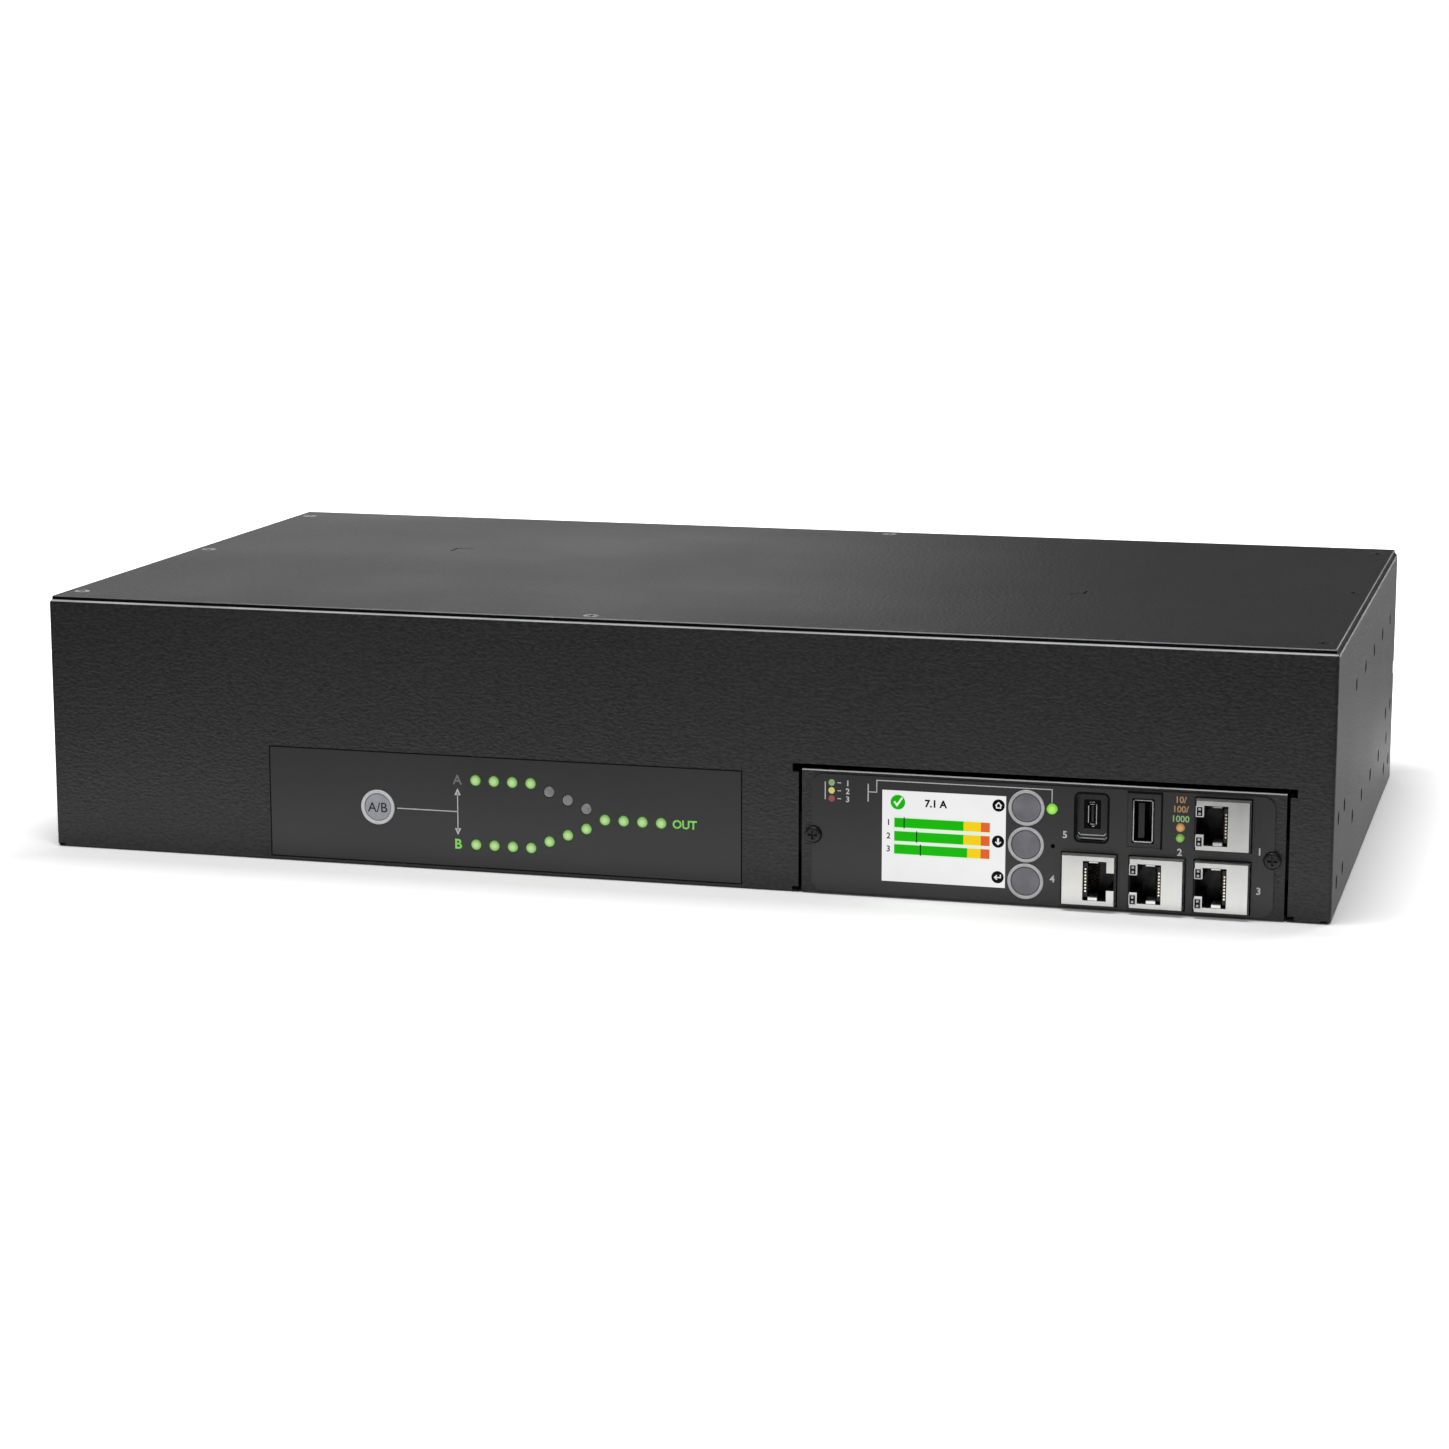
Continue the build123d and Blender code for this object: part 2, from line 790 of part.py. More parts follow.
# Indicator board on its posts
with BuildPart() as indicator_board:
    with BuildSketch(front_plane(indicator_board_depth)):
        with Locations((overlay_middle_x, overlay_middle_z)):
            Rectangle(overlay_width - 2 * indicator_board_side_margin, indicator_board_height)
    extrude(amount=-board_thickness)
save(indicator_board, "indicator_board")


def draw_module_holes():
    """Draw the holes that the module's bracket and faceplate share."""
    with Locations(lcd_point):
        Rectangle(lcd_window_width, lcd_window_height)
    with Locations(*key_points.values()):
        Circle(key_radius + slide_gap)
    with Locations(status_point):
        Circle(status_lamp_radius + fit_gap)
    with Locations(*link_led_points):
        Circle(link_lamp_radius + fit_gap)
    with Locations(reset_point):
        Circle(pinhole_radius)
    with Locations(micro_point):
        micro_hole_width = micro_body_width + 2 * fit_gap
        micro_hole_height = micro_body_height + 2 * fit_gap
        RectangleRounded(micro_hole_width, micro_hole_height, micro_body_corner + fit_gap)
    with Locations(usb_point):
        Rectangle(usb_shell_width + 2 * fit_gap, usb_shell_height + 2 * fit_gap)
    with Locations(*jack_points.values()):
        Rectangle(jack_width + 2 * jack_gap, jack_height + 2 * jack_gap)


# Bracket of the module: face with all cut-outs, head flange and posts for the board
with BuildPart() as module_bracket:
    with BuildSketch(front_plane(sheet)):
        with Locations((module_middle_x, module_middle_z)):
            Rectangle(module_width, module_height)
    extrude(amount=sheet)
    with Locations((module_middle_x, front_y + module_top_flange / 2, module_top)):
        Box(module_width, module_top_flange, sheet, align=FROM_TOP)
    fillet(module_bracket.faces().sort_by(Axis.Y)[0].edges().sort_by(Axis.Z)[-1], module_edge_radius)
    with BuildSketch(front_plane(sheet)):
        with Locations(*module_post_points):
            Circle(module_post_radius)
    extrude(amount=-(module_board_depth - sheet))
    with BuildSketch(front_plane()):
        draw_module_holes()
        with Locations(*module_screw_points):
            Circle(module_screw_radius + screw_gap)
    extrude(amount=-sheet, mode=Mode.SUBTRACT)
save(module_bracket, "module_bracket")


# Faceplate on the bracket, with a ring round each key and a shallow step round the wide socket
with BuildPart() as module_faceplate:
    plate_width = module_width - 2 * faceplate_side_inset
    plate_low = module_foot + faceplate_foot_inset
    plate_high = module_top - faceplate_top_inset
    with BuildSketch(front_plane()):
        with Locations((module_middle_x, (plate_low + plate_high) / 2)):
            RectangleRounded(plate_width, plate_high - plate_low, faceplate_corner)
    extrude(amount=faceplate_thickness)
    with BuildSketch(front_plane(-faceplate_thickness)):
        with Locations(*key_points.values()):
            Circle(key_radius + slide_gap + key_ring_width)
    extrude(amount=key_ring_height)
    chamfer(module_faceplate.edges().group_by(Axis.Y)[0], key_ring_height / 2)
    with BuildSketch(front_plane(-faceplate_thickness)):
        with Locations(usb_recess_point):
            Rectangle(usb_recess_width, usb_recess_height)
    extrude(amount=-usb_recess_depth, mode=Mode.SUBTRACT)
    with BuildSketch(front_plane(-faceplate_thickness - key_ring_height)):
        draw_module_holes()
        with Locations(*module_screw_points):
            Circle(module_screw_head_radius + slide_gap)
    extrude(amount=-(faceplate_thickness + key_ring_height), mode=Mode.SUBTRACT)
save(module_faceplate, "module_faceplate")


# Pan-head screws with a cross drive
with BuildPart() as module_screws:
    with BuildSketch(front_plane()):
        with Locations(*module_screw_points):
            Circle(module_screw_head_radius)
    extrude(amount=module_screw_head_height)
    head_rims = module_screws.edges().filter_by(GeomType.CIRCLE).group_by(Axis.Y)[0]
    fillet(head_rims, module_screw_head_height / 2)
    with BuildSketch(front_plane()):
        with Locations(*module_screw_points):
            Circle(module_screw_radius)
    extrude(amount=-module_screw_length)
    with BuildSketch(front_plane(-module_screw_head_height)):
        with Locations(*module_screw_points):
            Rectangle(module_drive_length, drive_recess_width)
            Rectangle(drive_recess_width, module_drive_length)
    extrude(amount=-2 * drive_recess_depth, mode=Mode.SUBTRACT)
save(module_screws, "module_screws")


# Module board, upright behind the bracket
with BuildPart() as module_board:
    with BuildSketch(front_plane(module_board_depth)):
        with Locations((module_middle_x, module_middle_z)):
            Rectangle(module_width - 2 * module_board_margin, module_height - 2 * module_board_margin)
    extrude(amount=-board_thickness)
save(module_board, "module_board")


# Display: glass that fills the window, on a wider body behind the bracket
with BuildPart() as lcd_panel:
    body_left = lcd_point[0] - lcd_window_width / 2 - lcd_border
    body_right = lcd_point[0] + lcd_window_width / 2 + lcd_key_side_border
    with BuildSketch(front_plane(sheet)):
        with Locations(((body_left + body_right) / 2, lcd_point[1])):
            Rectangle(body_right - body_left, lcd_window_height + lcd_border)
    extrude(amount=-lcd_thickness)
    with BuildSketch(front_plane(sheet)):
        with Locations(lcd_point):
            Rectangle(lcd_window_width - fit_gap, lcd_window_height - fit_gap)
    extrude(amount=sheet + faceplate_thickness - lcd_sink)
save(lcd_panel, "lcd_panel")


# Small switches behind the keys and the reset plunger
with BuildPart() as key_switches:
    with BuildSketch(front_plane(module_board_depth)):
        with Locations(*key_points.values()):
            Rectangle(switch_size, switch_size)
        with Locations(reset_point):
            Rectangle(reset_switch_size, reset_switch_size)
    extrude(amount=switch_height)
    with BuildSketch(front_plane(indicator_board_depth)):
        with Locations(preference_point):
            Rectangle(switch_size, switch_size)
    extrude(amount=switch_height)
    with BuildSketch(front_plane(module_board_depth - switch_height)):
        with Locations(reset_point):
            Circle(plunger_radius + slide_gap)
    extrude(amount=-plunger_seat_depth, mode=Mode.SUBTRACT)
save(key_switches, "key_switches")


# Reset plunger, pressed with a pin through the pinhole
with BuildPart() as reset_plunger:
    plunger_end = module_board_depth - switch_height + plunger_seat_depth - plunger_travel - slide_gap
    with BuildSketch(front_plane(plunger_end)):
        with Locations(reset_point):
            Circle(plunger_radius)
    extrude(amount=plunger_length)
save(reset_plunger, "reset_plunger")


def make_jack(name, point, handing, windows):
    """Square socket turned on its side: handing +1 has its latch notch on the left."""
    x, z = point
    cavity_x = x - handing * (jack_width / 2 - jack_cavity_offset - jack_cavity_width / 2)
    notch_x = x - handing * (jack_width / 2 - jack_cavity_offset + jack_latch_width / 2)
    window_x = x - handing * (jack_width / 2 - jack_window_inset - jack_window_width / 2)
    with BuildPart() as jack:
        with BuildSketch(front_plane(module_board_depth)):
            with Locations(point):
                Rectangle(jack_width, jack_height)
        extrude(amount=module_board_depth + jack_stand_out)
        chamfer(jack.faces().sort_by(Axis.Y)[0].edges(), jack_edge_break)
        with BuildSketch(front_plane(-jack_stand_out)):
            with Locations((cavity_x, z)):
                Rectangle(jack_cavity_width, jack_cavity_height)
            with Locations((notch_x, z)):
                Rectangle(jack_latch_width, jack_latch_height)
        extrude(amount=-jack_cavity_depth, mode=Mode.SUBTRACT)
        if windows:
            with BuildSketch(front_plane(-jack_stand_out)):
                for side in (-1, 1):
                    window_z = z + side * (jack_height / 2 - jack_window_inset - jack_window_height / 2)
                    with Locations((window_x, window_z)):
                        Rectangle(jack_window_width, jack_window_height)
            extrude(amount=-jack_window_depth, mode=Mode.SUBTRACT)
    save(jack, name)


make_jack("network_jack", jack_points["network_jack"], +1, True)
make_jack("link_b_jack", jack_points["link_b_jack"], +1, True)
make_jack("link_a_jack", jack_points["link_a_jack"], +1, True)
make_jack("universal_io_jack", jack_points["universal_io_jack"], -1, False)


# Wide socket: metal shell with a tongue inside
with BuildPart() as usb_a_port:
    usb_face = -faceplate_thickness
    with BuildSketch(front_plane(module_board_depth)):
        with Locations(usb_point):
            Rectangle(usb_shell_width, usb_shell_height)
    extrude(amount=module_board_depth - usb_face)
    with BuildSketch(front_plane(usb_face)):
        with Locations(usb_point):
            Rectangle(usb_shell_width - 2 * usb_wall, usb_shell_height - 2 * usb_wall)
    extrude(amount=-usb_socket_depth, mode=Mode.SUBTRACT)
    with BuildSketch(front_plane(usb_face + usb_tongue_sink)):
        with Locations((usb_point[0] - usb_tongue_shift, usb_point[1])):
            Rectangle(usb_tongue_width, usb_tongue_height)
    extrude(amount=-(usb_socket_depth - usb_tongue_sink))
save(usb_a_port, "usb_a_port")


# Narrow socket: moulded surround, metal shell in its pocket and a thin tongue
with BuildPart() as micro_usb_port:
    port_point = (micro_point[0], micro_point[1] + micro_port_lift)
    with BuildSketch(front_plane(module_board_depth)):
        with Locations(micro_point):
            RectangleRounded(micro_body_width, micro_body_height, micro_body_corner)
    extrude(amount=module_board_depth - micro_body_sink)
    with BuildSketch(front_plane(micro_body_sink)):
        with Locations(port_point):
            Rectangle(micro_pocket_width, micro_pocket_height)
    extrude(amount=-micro_pocket_depth, mode=Mode.SUBTRACT)
    with BuildSketch(front_plane(micro_body_sink + micro_pocket_depth)) as micro_shell_sketch:
        with Locations(port_point):
            shell_outline = Rectangle(micro_shell_width, micro_shell_height)
        chamfer(shell_outline.vertices().group_by(Axis.X)[0], micro_shell_wide_bevel)
        slim_corners = micro_shell_sketch.vertices().group_by(Axis.X)[-1]
        chamfer(slim_corners, micro_shell_slim_bevel)
    extrude(amount=micro_pocket_depth)
    with BuildSketch(front_plane(micro_body_sink)):
        with Locations(port_point):
            Rectangle(micro_shell_width - 2 * micro_shell_wall, micro_socket_height)
    extrude(amount=-micro_socket_depth, mode=Mode.SUBTRACT)
    with BuildSketch(front_plane(micro_body_sink + micro_socket_depth)):
        with Locations(port_point):
            Rectangle(micro_tongue_width, micro_tongue_height)
    extrude(amount=micro_socket_depth - micro_shell_wall)
save(micro_usb_port, "micro_usb_port")


def make_outlet(name, point, flange, barrel, moat, island, contact, spacing, earth):
    """Snap-in mains outlet: flange, barrel, moat round an island and three contact slots.

    flange, barrel and contact are (width, height); moat and island add the cut of
    their two upper corners.
    """
    x, z = point
    here = (-x, z)
    with BuildPart() as outlet:
        with BuildSketch(back_plane()):
            with Locations(here):
                Rectangle(*flange)
        extrude(amount=outlet_flange_thickness)
        chamfer(outlet.faces().sort_by(Axis.Y)[-1].edges(), outlet_edge_break)
        with BuildSketch(back_plane()):
            with Locations(here):
                Rectangle(*barrel)
        extrude(amount=-(outlet_depth + sheet))
        for side in (-1, 1):
            snap_z = z + side * barrel[1] / 2
            snap_y = panel_face_y - sheet - fit_gap - snap_length / 2
            with Locations((x, snap_y, snap_z)):
                Box(snap_width, snap_length, 2 * snap_height)
        with BuildSketch(back_plane(outlet_flange_thickness)) as moat_sketch:
            with Locations(here):
                Rectangle(moat[0], moat[1])
            chamfer(moat_sketch.vertices().group_by(Axis.Y)[-1], moat[2])
        extrude(amount=-moat_depth, mode=Mode.SUBTRACT)
        with BuildSketch(back_plane(outlet_flange_thickness - moat_depth)) as island_sketch:
            with Locations(here):
                Rectangle(island[0], island[1])
            chamfer(island_sketch.vertices().group_by(Axis.Y)[-1], island[2])
        extrude(amount=moat_depth - island_sink)
        with BuildSketch(back_plane(outlet_flange_thickness - island_sink)):
            with Locations(
                (here[0] - spacing / 2, z - earth / 2),
                (here[0] + spacing / 2, z - earth / 2),
                (here[0], z + earth / 2),
            ):
                Rectangle(*contact)
        extrude(amount=-contact_depth, mode=Mode.SUBTRACT)
    save(outlet, name)


for index, outlet_point in enumerate(small_outlet_points):
    make_outlet(
        f"small_outlet_{index + 1:02d}",
        outlet_point,
        (small_flange_width, small_flange_height),
        (small_barrel_width, small_barrel_height),
        (small_moat_width, small_moat_height, small_moat_cut),
        (small_island_width, small_island_height, small_island_cut),
        (small_contact_width, small_contact_height),
        small_contact_spacing,
        small_earth_offset,
    )
for index, outlet_point in enumerate(large_outlet_points):
    make_outlet(
        f"large_outlet_{index + 1}",
        outlet_point,
        (large_flange_width, large_flange_height),
        (large_barrel_width, large_barrel_height),
        (large_moat_width, large_moat_height, large_moat_cut),
        (large_island_width, large_island_height, large_island_cut),
        (large_contact_width, large_contact_height),
        large_contact_spacing,
        large_earth_offset,
    )


def make_breaker(letter, point):
    """Circuit breaker in two pieces: a body with a round well, and the lever in it."""
    x, z = point
    here = (-x, z)
    pivot_y = panel_face_y + breaker_bezel_thickness - breaker_pivot_sink
    pivot_plane = Plane(origin=(x, pivot_y, z), x_dir=(0, 1, 0), z_dir=(1, 0, 0))
    with BuildPart() as body:
        with BuildSketch(back_plane()):
            with Locations(here):
                Rectangle(breaker_bezel_width, breaker_bezel_height)
        extrude(amount=breaker_bezel_thickness)
        chamfer(body.faces().sort_by(Axis.Y)[-1].edges(), outlet_edge_break)
        with BuildSketch(back_plane()):
            with Locations(here):
                Rectangle(breaker_barrel_width, breaker_barrel_height)
        extrude(amount=-(breaker_depth + sheet))
        with BuildSketch(pivot_plane):
            Circle(lever_drum_radius + slide_gap)
        extrude(amount=lever_width / 2 + slide_gap, both=True, mode=Mode.SUBTRACT)
        with BuildSketch(pivot_plane):
            Circle(lever_pin_radius + lever_pin_gap)
        pin_reach = lever_width / 2 + lever_pin_length + slide_gap
        extrude(amount=pin_reach, both=True, mode=Mode.SUBTRACT)
    save(body, f"breaker_body_{letter}")

    # The lever leans up when it is on
    lean = radians(lever_angle)
    lever_plane = Plane(origin=(x, pivot_y, z), x_dir=(0, cos(lean), sin(lean)), z_dir=(1, 0, 0))
    with BuildPart() as lever:
        with BuildSketch(lever_plane):
            Circle(lever_drum_radius)
            with BuildLine():
                Polyline(
                    (0, -lever_root / 2),
                    (lever_reach, -lever_tip / 2),
                    (lever_reach, lever_tip / 2),
                    (0, lever_root / 2),
                    close=True,
                )
            make_face()
        extrude(amount=lever_width / 2, both=True)
        tip_edges = lever.edges().filter_by(Axis.X).group_by(Axis.Y)[-1]
        fillet(tip_edges, lever_tip_radius)
        with BuildSketch(lever_plane):
            Circle(lever_pin_radius)
        extrude(amount=lever_width / 2 + lever_pin_length, both=True)
    save(lever, f"breaker_lever_{letter}")


for letter, breaker_point in breaker_points.items():
    make_breaker(letter, breaker_point)


def make_gland(letter, point):
    """Cord gland: hexagon, clamping dome and thread round one bore, with its nut inside."""
    here = (-point[0], point[1])
    inner_end = sheet + gland_thread_length
    outer_end = gland_hex_length + gland_dome_length
    axis_plane = Plane(origin=(point[0], panel_face_y, point[1]), x_dir=(0, 1, 0), z_dir=(1, 0, 0))
    with BuildPart() as gland:
        with BuildSketch(back_plane()):
            with Locations(here):
                RegularPolygon(gland_hex_radius, 6, major_radius=False)
        extrude(amount=gland_hex_length)
        with BuildSketch(axis_plane):
            with BuildLine():
                shoulder = (gland_hex_length + gland_dome_straight, gland_dome_radius)
                Polyline((gland_hex_length, 0), (gland_hex_length, gland_dome_radius), shoulder)
                TangentArc(shoulder, (outer_end, gland_mouth_radius), tangent=(1, 0))
                Polyline((outer_end, gland_mouth_radius), (outer_end, 0), (gland_hex_length, 0))
            make_face()
        revolve(axis=Axis((point[0], panel_face_y, point[1]), (0, 1, 0)))
        with BuildSketch(back_plane()):
            with Locations(here):
                Circle(gland_thread_radius)
        extrude(amount=-inner_end)
        with BuildSketch(back_plane(-sheet)):
            with Locations(here):
                RegularPolygon(gland_hex_radius, 6, major_radius=False)
                Circle(gland_thread_radius + screw_gap, mode=Mode.SUBTRACT)
        extrude(amount=-gland_nut_length)
        with BuildSketch(back_plane(outer_end)):
            with Locations(here):
                Circle(gland_bore_radius)
        extrude(amount=-(outer_end + inner_end), mode=Mode.SUBTRACT)
    save(gland, f"cord_gland_{letter}")


for letter, gland_point in gland_points.items():
    make_gland(letter, gland_point)


# Earth stud with its flange on the panel
with BuildPart() as earth_stud:
    with BuildSketch(back_plane()):
        with Locations(*seen_from_back([stud_point])):
            Circle(stud_flange_radius)
    extrude(amount=stud_flange_thickness)
    with BuildSketch(back_plane(-2 * sheet)):
        with Locations(*seen_from_back([stud_point])):
            Circle(stud_radius)
    extrude(amount=2 * sheet + stud_flange_thickness + stud_length)
    stud_tip = earth_stud.faces().sort_by(Axis.Y)[-1].edges()
    chamfer(stud_tip, outlet_edge_break)
save(earth_stud, "earth_stud")


# Main board: wide at the back, and cut away at the right for the module
board_left = -(side_x - sheet - main_board_wall_gap)
board_right = side_x - sheet - main_board_wall_gap
board_front = front_y + sheet + main_board_front_gap
board_step_y = front_y + module_board_depth + main_board_module_gap
board_step_x = opening_left - main_board_wall_gap
outlet_board_y = panel_face_y - sheet - outlet_depth
board_back = outlet_board_y - board_thickness - main_board_back_gap
board_z = sheet + main_board_lift
board_top = board_z + board_thickness
with BuildPart() as main_board:
    with BuildSketch(Plane.XY.offset(board_z)):
        with BuildLine():
            Polyline(
                (board_left, board_front),
                (board_step_x, board_front),
                (board_step_x, board_step_y),
                (board_right, board_step_y),
                (board_right, board_back),
                (board_left, board_back),
                close=True,
            )
        make_face()
    extrude(amount=board_thickness)
save(main_board, "main_board")


# Hexagonal spacers between the floor and the main board
spacer_columns = [board_left + spacer_inset, board_step_x - spacer_inset]
spacer_rows = [board_front + spacer_inset, (board_front + board_back) / 2, board_back - spacer_inset]
spacer_points = [(x, y) for x in spacer_columns for y in spacer_rows]
for spacer_y in (board_step_y + spacer_inset, board_back - spacer_inset):
    spacer_points.append((board_right - spacer_inset, spacer_y))
with BuildPart() as board_spacers:
    with BuildSketch(Plane.XY.offset(sheet)):
        with Locations(*spacer_points):
            RegularPolygon(spacer_radius, 6)
    extrude(amount=main_board_lift)
save(board_spacers, "board_spacers")


# Transfer relays in two rows
relay_middle_x = board_left + relay_left_margin + relay_pitch_x * (relay_columns - 1) / 2
relay_middle_y = board_front + relay_front_margin + relay_pitch_y * (relay_rows - 1) / 2
with BuildPart() as transfer_relays:
    with BuildSketch(Plane.XY.offset(board_top)):
        with Locations((relay_middle_x, relay_middle_y)):
            with GridLocations(relay_pitch_x, relay_pitch_y, relay_columns, relay_rows):
                Rectangle(relay_width, relay_depth)
    extrude(amount=relay_height)
    chamfer(transfer_relays.edges().group_by(Axis.Z)[-1], relay_edge_break)
save(transfer_relays, "transfer_relays")


# Two supplies, one for each feed: a core with its coil through it
supply_y = board_step_y + coil_depth
supply_middle_x = (board_step_x + board_right) / 2
with BuildPart() as supply_transformers:
    for side in (-1, 1):
        with Locations((supply_middle_x + side * supply_pitch / 2, supply_y, board_top)):
            Box(core_width, core_depth, core_height, align=ON_FLOOR)
            Box(coil_width, coil_depth, coil_height, align=ON_FLOOR)
save(supply_transformers, "supply_transformers")


# Input terminals near the cord glands, with a screw well for each conductor
terminal_y = board_back - terminal_depth
terminal_x = board_right - terminal_width / 2 - spacer_inset - spacer_radius
well_pitch = terminal_width / terminal_ways
with BuildPart() as input_terminals:
    for number in range(2):
        block_x = terminal_x - number * terminal_pitch
        with Locations((block_x, terminal_y, board_top)):
            Box(terminal_width, terminal_depth, terminal_height, align=ON_FLOOR)
        with Locations((block_x, terminal_y, board_top + terminal_height)):
            with GridLocations(well_pitch, well_pitch, terminal_ways, 1):
                Cylinder(terminal_well_radius, terminal_well_depth, align=FROM_TOP, mode=Mode.SUBTRACT)
save(input_terminals, "input_terminals")


# Outlet board, upright on the backs of the outlets
with BuildPart() as outlet_board:
    strip_left = first_small_x - (small_columns - 1) * small_outlet_pitch - small_barrel_width / 2
    strip_right = large_outlet_x + large_barrel_width / 2
    with BuildSketch(back_plane(-(sheet + outlet_depth))):
        with Locations((-(strip_left + strip_right) / 2, middle_z)):
            Rectangle(strip_right - strip_left, tray_height - 2 * outlet_board_margin)
    extrude(amount=-board_thickness)
save(outlet_board, "outlet_board")
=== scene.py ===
# %% [markdown]
# A two-unit rack transfer switch. The real object is a folded steel tray with a
# flat cover, coated black, with a lamp overlay and a display module in its front
# and rows of outlets in its back. The CAD model holds every size, so this lesson
# only adds finishes, print and the fine parts that live in the sockets.

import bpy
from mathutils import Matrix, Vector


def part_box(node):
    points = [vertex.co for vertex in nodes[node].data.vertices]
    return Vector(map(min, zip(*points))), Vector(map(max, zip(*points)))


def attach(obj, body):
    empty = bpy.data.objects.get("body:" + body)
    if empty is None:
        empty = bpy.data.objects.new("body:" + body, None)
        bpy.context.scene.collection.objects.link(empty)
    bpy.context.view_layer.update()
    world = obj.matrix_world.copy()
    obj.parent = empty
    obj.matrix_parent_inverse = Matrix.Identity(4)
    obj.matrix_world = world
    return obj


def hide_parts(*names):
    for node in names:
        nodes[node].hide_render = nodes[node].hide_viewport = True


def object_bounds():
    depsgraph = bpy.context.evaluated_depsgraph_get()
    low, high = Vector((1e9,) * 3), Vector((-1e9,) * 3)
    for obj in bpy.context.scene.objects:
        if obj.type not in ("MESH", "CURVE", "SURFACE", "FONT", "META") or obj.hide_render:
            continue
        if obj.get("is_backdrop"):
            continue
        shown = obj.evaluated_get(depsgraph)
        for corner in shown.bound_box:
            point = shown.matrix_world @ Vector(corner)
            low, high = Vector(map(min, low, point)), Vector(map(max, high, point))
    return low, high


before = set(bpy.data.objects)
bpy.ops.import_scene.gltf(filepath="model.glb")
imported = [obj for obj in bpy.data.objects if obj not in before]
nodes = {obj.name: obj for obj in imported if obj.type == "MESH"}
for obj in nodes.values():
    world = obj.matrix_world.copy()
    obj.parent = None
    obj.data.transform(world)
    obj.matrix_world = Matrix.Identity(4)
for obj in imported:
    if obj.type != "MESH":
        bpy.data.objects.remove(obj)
cad_low, cad_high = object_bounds()
print("outside size in metres:", [round(side, 4) for side in cad_high - cad_low])

# %% [markdown]
# All real sizes below are in millimetres, and one factor turns them into
# Blender's metres. Places come from the boxes of the CAD nodes, so the pieces
# follow the model if a size in it changes.

# %% Read places from the CAD nodes
import math

import bmesh
import bpy
from mathutils import Matrix, Vector

MM = 0.001
scene = bpy.context.scene


def corners(node):
    """Lowest and highest corner of a CAD node, in millimetres."""
    low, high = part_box(node)
    return low / MM, high / MM


def centre(node):
    """Middle of a CAD node's box, in millimetres."""
    low, high = corners(node)
    return (low + high) / 2


def metres(x, y, z):
    """A point or shift in metres from millimetres."""
    return (x * MM, y * MM, z * MM)


tray_low, tray_high = corners("chassis")
FRONT = tray_low.y
BACK = corners("rear_panel")[1].y
print("tray in mm:", [round(side, 1) for side in tray_high - tray_low])

# %% [markdown]
# A material in Blender is a tree of nodes. One small function adds a node, makes
# its settings and fills its sockets with values or links, so that each finish
# reads as a short list. Colours are written as sRGB hex and turned to linear.

# %% Helpers for node trees and colours
MATH = "ShaderNodeMath"
VECTOR_MATH = "ShaderNodeVectorMath"
XYZ = "ShaderNodeCombineXYZ"
SPREAD = "ShaderNodeMapRange"
BLEND = "ShaderNodeMix"


def fill(tree, socket, value):
    """Give a socket a value, or a link from an output or from a node's first output."""
    if isinstance(value, bpy.types.Node):
        value = next(output for output in value.outputs if output.enabled)
    if isinstance(value, bpy.types.NodeSocket):
        tree.links.new(value, socket)
    else:
        socket.default_value = value


def add(tree, kind, sockets=(), **settings):
    """Add a node with its settings, and fill its sockets by name, or in order from a list."""
    node = tree.nodes.new(kind)
    for name, value in settings.items():
        setattr(node, name, value)
    in_use = [socket for socket in node.inputs if socket.enabled]
    for key, value in sockets.items() if isinstance(sockets, dict) else enumerate(sockets):
        socket = node.inputs[key] if isinstance(key, str) else in_use[key]
        for source in value if isinstance(value, list) else [value]:
            fill(tree, socket, source)
    return node


def linear(hex_colour):
    """Linear RGBA of an sRGB hex colour such as 2e2e2e."""
    channels = [int(hex_colour[start : start + 2], 16) / 255 for start in (0, 2, 4)]
    curve = [c / 12.92 if c <= 0.04045 else ((c + 0.055) / 1.055) ** 2.4 for c in channels]
    return (*curve, 1.0)


print("middle grey is", [round(c, 3) for c in linear("808080")])

# %% [markdown]
# Most surfaces here are moulded, coated or plated. What the eye sees on each is
# the same three things at different sizes: a slow drift of colour, a drift of
# gloss, and a fine grain that breaks up the highlights. One function builds such
# a finish from sizes in millimetres. Metals differ by their metallic value only.

# %% A finish with drifting colour, drifting gloss and a fine grain
EVEN = (1.0, 1.0, 1.0)
CLOUD_RANGE = {"From Min": 0.3, "From Max": 0.7}


def finish(name, dark, light, gloss, drift, grain, relief, fleck=0.0, squeeze=EVEN, **values):
    """A finish from two hex colours, a range of roughness and sizes in millimetres.

    drift and grain are the sizes of the slow and the fine pattern, and relief is the grain's
    height. fleck is its share in the colour, and squeeze below one draws it out along an axis.
    """
    material = bpy.data.materials.new(name)
    material.use_nodes = True
    tree = material.node_tree
    place = add(tree, "ShaderNodeTexCoord").outputs["Object"]
    grain_place = add(tree, "ShaderNodeMapping", {"Vector": place, "Scale": squeeze})
    patterns = []
    for spot, size, detail in ((place, drift, 2.0), (grain_place, grain, 3.0)):
        cloud = {"Vector": spot, "Scale": 1 / (size * MM), "Detail": detail}
        patterns.append(add(tree, SPREAD, {"Value": add(tree, "ShaderNodeTexNoise", cloud), **CLOUD_RANGE}))
    slow, fine = patterns
    shade = add(tree, BLEND, [fleck, slow, fine], data_type="FLOAT")
    surface = {
        "Base Color": add(tree, BLEND, [shade, linear(dark), linear(light)], data_type="RGBA"),
        "Roughness": add(tree, SPREAD, {"Value": slow, "To Min": gloss[0], "To Max": gloss[1]}),
        "Normal": add(tree, "ShaderNodeBump", {"Distance": relief * MM, "Height": fine}),
        **{socket.replace("_", " "): value for socket, value in values.items()},
    }
    for socket, value in surface.items():
        fill(tree, tree.nodes["Principled BSDF"].inputs[socket], value)
    return material


print("an even grain is squeezed by", EVEN)

